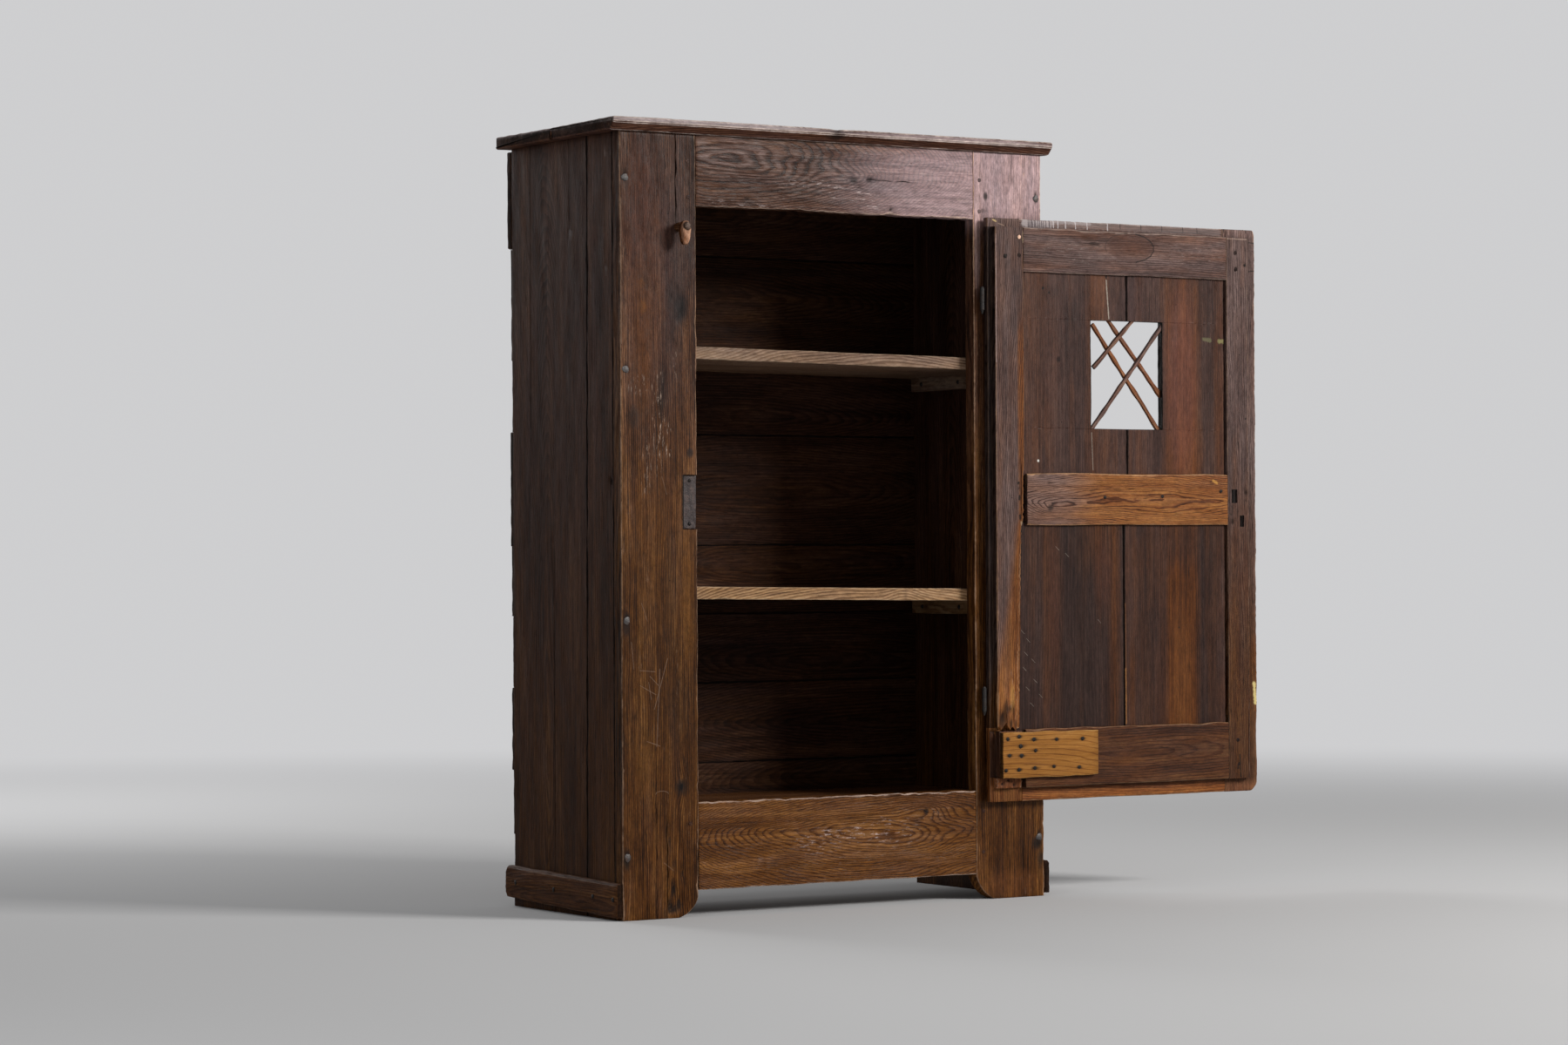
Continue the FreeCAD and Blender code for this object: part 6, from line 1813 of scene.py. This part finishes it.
def make_turn_button():
    """The whittled button: a fat rounded lump that narrows towards its lower end."""
    box = room("turn_button")
    x0, x1 = box["x"]
    y0, y1 = box["y"]
    z0, z1 = box["z"]
    z0, z1 = z0 + 2.6, z1 - 2.6
    y_back = y0 + 20.5
    middle_x = (x0 + x1) / 2
    height = z1 - z0
    pivot = (middle_x, 1387)
    facets = Ripple(53, 1.9, 18, 6)
    rings, count = 26, 32
    points = []
    for i in range(rings + 1):
        z = z0 + height * (0.5 - 0.5 * math.cos(math.pi * i / rings))
        swell = max(math.sin(math.pi * i / rings), 0) ** 0.55
        taper = 0.8 + 0.2 * smooth(z, z0, z1 - 12)
        lean = -1.6 * (1 - i / rings)
        for j in range(count):
            phi = 2 * math.pi * j / count
            c, s = math.cos(phi), math.sin(phi)
            c, s = math.copysign(abs(c) ** 0.62, c), math.copysign(abs(s) ** 0.66, s)
            cut = 1 + 0.05 * float(facets(phi, z))
            x = middle_x + lean + c * swell * taper * (x1 - x0) / 2 * cut * 0.99
            y = (y0 + y_back) / 2 + s * swell * (y_back - y0) / 2 * (0.95 + 0.05 * float(facets(phi + 2, z)))
            if s > 0:
                near = 1 - smooth(math.hypot(x - pivot[0], z - pivot[1]), 6.5, 9)
                y += near * (y1 - 0.3 - y)
            points.append((x, y, z))
    faces = tube_faces(rings, count, capped=False)
    mesh = bpy.data.meshes.new("turn_button_lump")
    mesh.from_pydata((np.array(points) * MM + ORIGIN).tolist(), [], faces)
    mesh.validate()
    bm = bmesh.new()
    bm.from_mesh(mesh)
    bmesh.ops.remove_doubles(bm, verts=bm.verts, dist=1e-6)
    bmesh.ops.recalc_face_normals(bm, faces=bm.faces)
    bm.to_mesh(mesh)
    bm.free()
    points = (np.array([v.co for v in mesh.vertices]) - ORIGIN) / MM
    front = points[:, 1] < y0 + 7.5
    # The front is worn light, and more on its right part: that extra is a painted highlight
    wear = np.where(front, 0.85 + 0.3 * smooth(points[:, 0], middle_x + 2, middle_x + 9), 0.1)
    from_nail = np.hypot(points[:, 0] - pivot[0], points[:, 2] - pivot[1])
    # A dark ring round the nail, and painted shade on the back that faces the stile
    dirt = np.maximum(bump(from_nail - 7.2, 2.4), 0.6 * smooth(points[:, 1], y_back - 4, y_back))
    # Painted shade: the flanks and back are toned to 0.45 of the front
    tone = np.where(front, 1, 0.45)
    grain_data(mesh, points[:, 2], points[:, 0], points[:, 1], 64, (1370, 120, 30, 0, 0, 3.2), NO_KNOT,
               wear, dirt, 0.75 + 0 * wear, tone)
    finished(mesh, "turn_button_lump", "turn_button", materials["button"], ["turn_button"])
    head = lathe(((-10, 2.9), (-0.5, 3), (0.2, 6.4), (1.3, 5.9), (2, 3.2), (2.2, 0.6)),
                 (middle_x, y0 - 0.3, pivot[1]), (0, -1, 0), 16, 5, 0.1)
    shank = lathe(((0, 2.9), (60, 2.9)), (middle_x, y0, pivot[1]), (0, 1, 0), 14)
    mesh, *_ = joined_mesh("button_nail", [head, shank])
    finished(mesh, "button_nail", "carcass", materials["nail_iron"], ["turn_button_nail"])
    spacer = lathe(((0, 8), (1, 9), (14, 9.2), (14.8, 9.2)), (middle_x, -14.9, pivot[1]),
                   (0, 1, 0), 20, 6, 0.03)
    # The spacer is toned down to 0.3: painted shade, for it sits in the shadow behind the button
    mesh, points, wear, warmth = joined_mesh("button_spacer", [spacer])
    grain_data(mesh, points[:, 1], points[:, 0], points[:, 2], 65, STRAIGHT, NO_KNOT, wear + 0.3, 0 * wear,
               warmth + 0.4, 0.3 + 0 * wear)
    finished(mesh, "button_spacer", "carcass", materials["button"], ["turn_button_spacer"])


def paint_frame_parts():
    """Hinges, pins and small nails keep their shapes and take the iron finish."""
    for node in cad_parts.values():
        if node.hide_render:
            continue
        node.data.materials.clear()
        node.data.materials.append(materials["hinge_iron"])


def look_at_photo():
    """The camera that was solved on the photograph."""
    yaw, pitch, roll = (math.radians(v) for v in (CAMERA_YAW, CAMERA_PITCH, CAMERA_ROLL))
    right = Vector((math.cos(yaw), math.sin(yaw), 0))
    ahead = Vector((-math.sin(yaw), math.cos(yaw), 0))
    up = Vector((0, 0, 1))
    forward = ahead * math.cos(pitch) + up * math.sin(pitch)
    upright = -ahead * math.sin(pitch) + up * math.cos(pitch)
    side = right * math.cos(roll) + upright * math.sin(roll)
    top = -right * math.sin(roll) + upright * math.cos(roll)
    data = bpy.data.cameras.new("camera")
    data.sensor_width = SENSOR_WIDTH
    data.lens = CAMERA_FOCAL * SENSOR_WIDTH / PICTURE_WIDTH
    data.clip_end = 100
    camera = bpy.data.objects.new("camera", data)
    place = np.array(CAMERA_AT) * MM + ORIGIN
    camera.matrix_world = Matrix.Translation(Vector(place)) @ Matrix(
        [[side[i], top[i], -forward[i]] for i in range(3)]).to_4x4()
    bpy.context.scene.collection.objects.link(camera)
    bpy.context.scene.camera = camera


def area_light(name, place, aim, size, power, colour=(1, 1, 1)):
    """A soft square lamp that points at a place."""
    data = bpy.data.lights.new(name, "AREA")
    data.size = size
    data.energy = power
    data.color = colour
    lamp = bpy.data.objects.new(name, data)
    lamp.location = place
    lamp.rotation_euler = (Vector(aim) - Vector(place)).to_track_quat("-Z", "Y").to_euler()
    bpy.context.scene.collection.objects.link(lamp)


# Colour of the backdrop and strength of the even light
PALE = (0.62, 0.62, 0.63)
AMBIENT = 0.22


def make_world():
    """Soft even light from all round; camera and reflections see the pale backdrop colour."""
    world = bpy.data.worlds.new("studio")
    bpy.context.scene.world = world
    world.use_nodes = True
    tree = world.node_tree
    tree.nodes.clear()
    rays = tree.nodes.new("ShaderNodeLightPath")
    seen = tree.nodes.new("ShaderNodeMath")
    seen.operation = "MAXIMUM"
    tree.links.new(rays.outputs["Is Camera Ray"], seen.inputs[0])
    tree.links.new(rays.outputs["Is Glossy Ray"], seen.inputs[1])
    through = tree.nodes.new("ShaderNodeMath")
    through.operation = "MAXIMUM"
    tree.links.new(seen.outputs[0], through.inputs[0])
    tree.links.new(rays.outputs["Is Transmission Ray"], through.inputs[1])
    ambient, shown = (tree.nodes.new("ShaderNodeBackground") for _ in range(2))
    ambient.inputs[0].default_value = (1, 1, 1, 1)
    ambient.inputs[1].default_value = AMBIENT
    shown.inputs[0].default_value = (*PALE, 1)
    shown.inputs[1].default_value = 1
    mix = tree.nodes.new("ShaderNodeMixShader")
    tree.links.new(through.outputs[0], mix.inputs[0])
    tree.links.new(ambient.outputs[0], mix.inputs[1])
    tree.links.new(shown.outputs[0], mix.inputs[2])
    output = tree.nodes.new("ShaderNodeOutputWorld")
    tree.links.new(mix.outputs[0], output.inputs[0])


def make_floor():
    """A plain pale floor that fades into the backdrop colour far from the cupboard."""
    g = Graph("studio_floor")
    place = g.node("TexCoord", out=3)
    far = g.steps(g.vector("LENGTH", place, out=1), 2.2, 7)
    surface = g.tree.nodes.new("ShaderNodeBsdfDiffuse")
    surface.inputs[0].default_value = (0.6, 0.6, 0.605, 1)
    glow = g.tree.nodes.new("ShaderNodeEmission")
    glow.inputs[0].default_value = (*PALE, 1)
    mix = g.tree.nodes.new("ShaderNodeMixShader")
    g.tree.links.new(far, mix.inputs[0])
    g.tree.links.new(surface.outputs[0], mix.inputs[1])
    g.tree.links.new(glow.outputs[0], mix.inputs[2])
    output = g.tree.nodes.new("ShaderNodeOutputMaterial")
    g.tree.links.new(mix.outputs[0], output.inputs[0])
    half = 60
    mesh = bpy.data.meshes.new("studio_floor")
    corners = [(-half, -half, 0), (half, -half, 0), (half, half, 0), (-half, half, 0)]
    mesh.from_pydata(corners, [], [(0, 1, 2, 3)])
    mesh.materials.append(g.material)
    floor = bpy.data.objects.new("studio_floor", mesh)
    bpy.context.scene.collection.objects.link(floor)


def make_lights():
    """A large soft key from the upper right of the viewer and a weak fill from the left."""
    area_light("key", (3, -4.8, 3.4), (0, 0, 0.9), 1.8, 340, (1, 0.985, 0.965))
    area_light("fill", (-4.5, -3, 2.2), (0, 0.2, 0.8), 2.5, 25, (0.95, 0.975, 1))
    area_light("behind", (-1, 5, 3), (0, 0.2, 0.8), 2.5, 110)


make_left_stile()
make_right_stile()
make_front_rails()
make_sides()
make_top()
make_back()
make_inside()
make_plinths()
make_hinge_stile()
make_lock_stile()
make_door_rails()
make_panels()
make_repairs()
make_lattice()
make_nails()
make_pegs()
make_keeper()
make_turn_button()
paint_frame_parts()

make_world()
make_floor()
make_lights()
look_at_photo()
bpy.context.scene.view_settings.view_transform = "Standard"
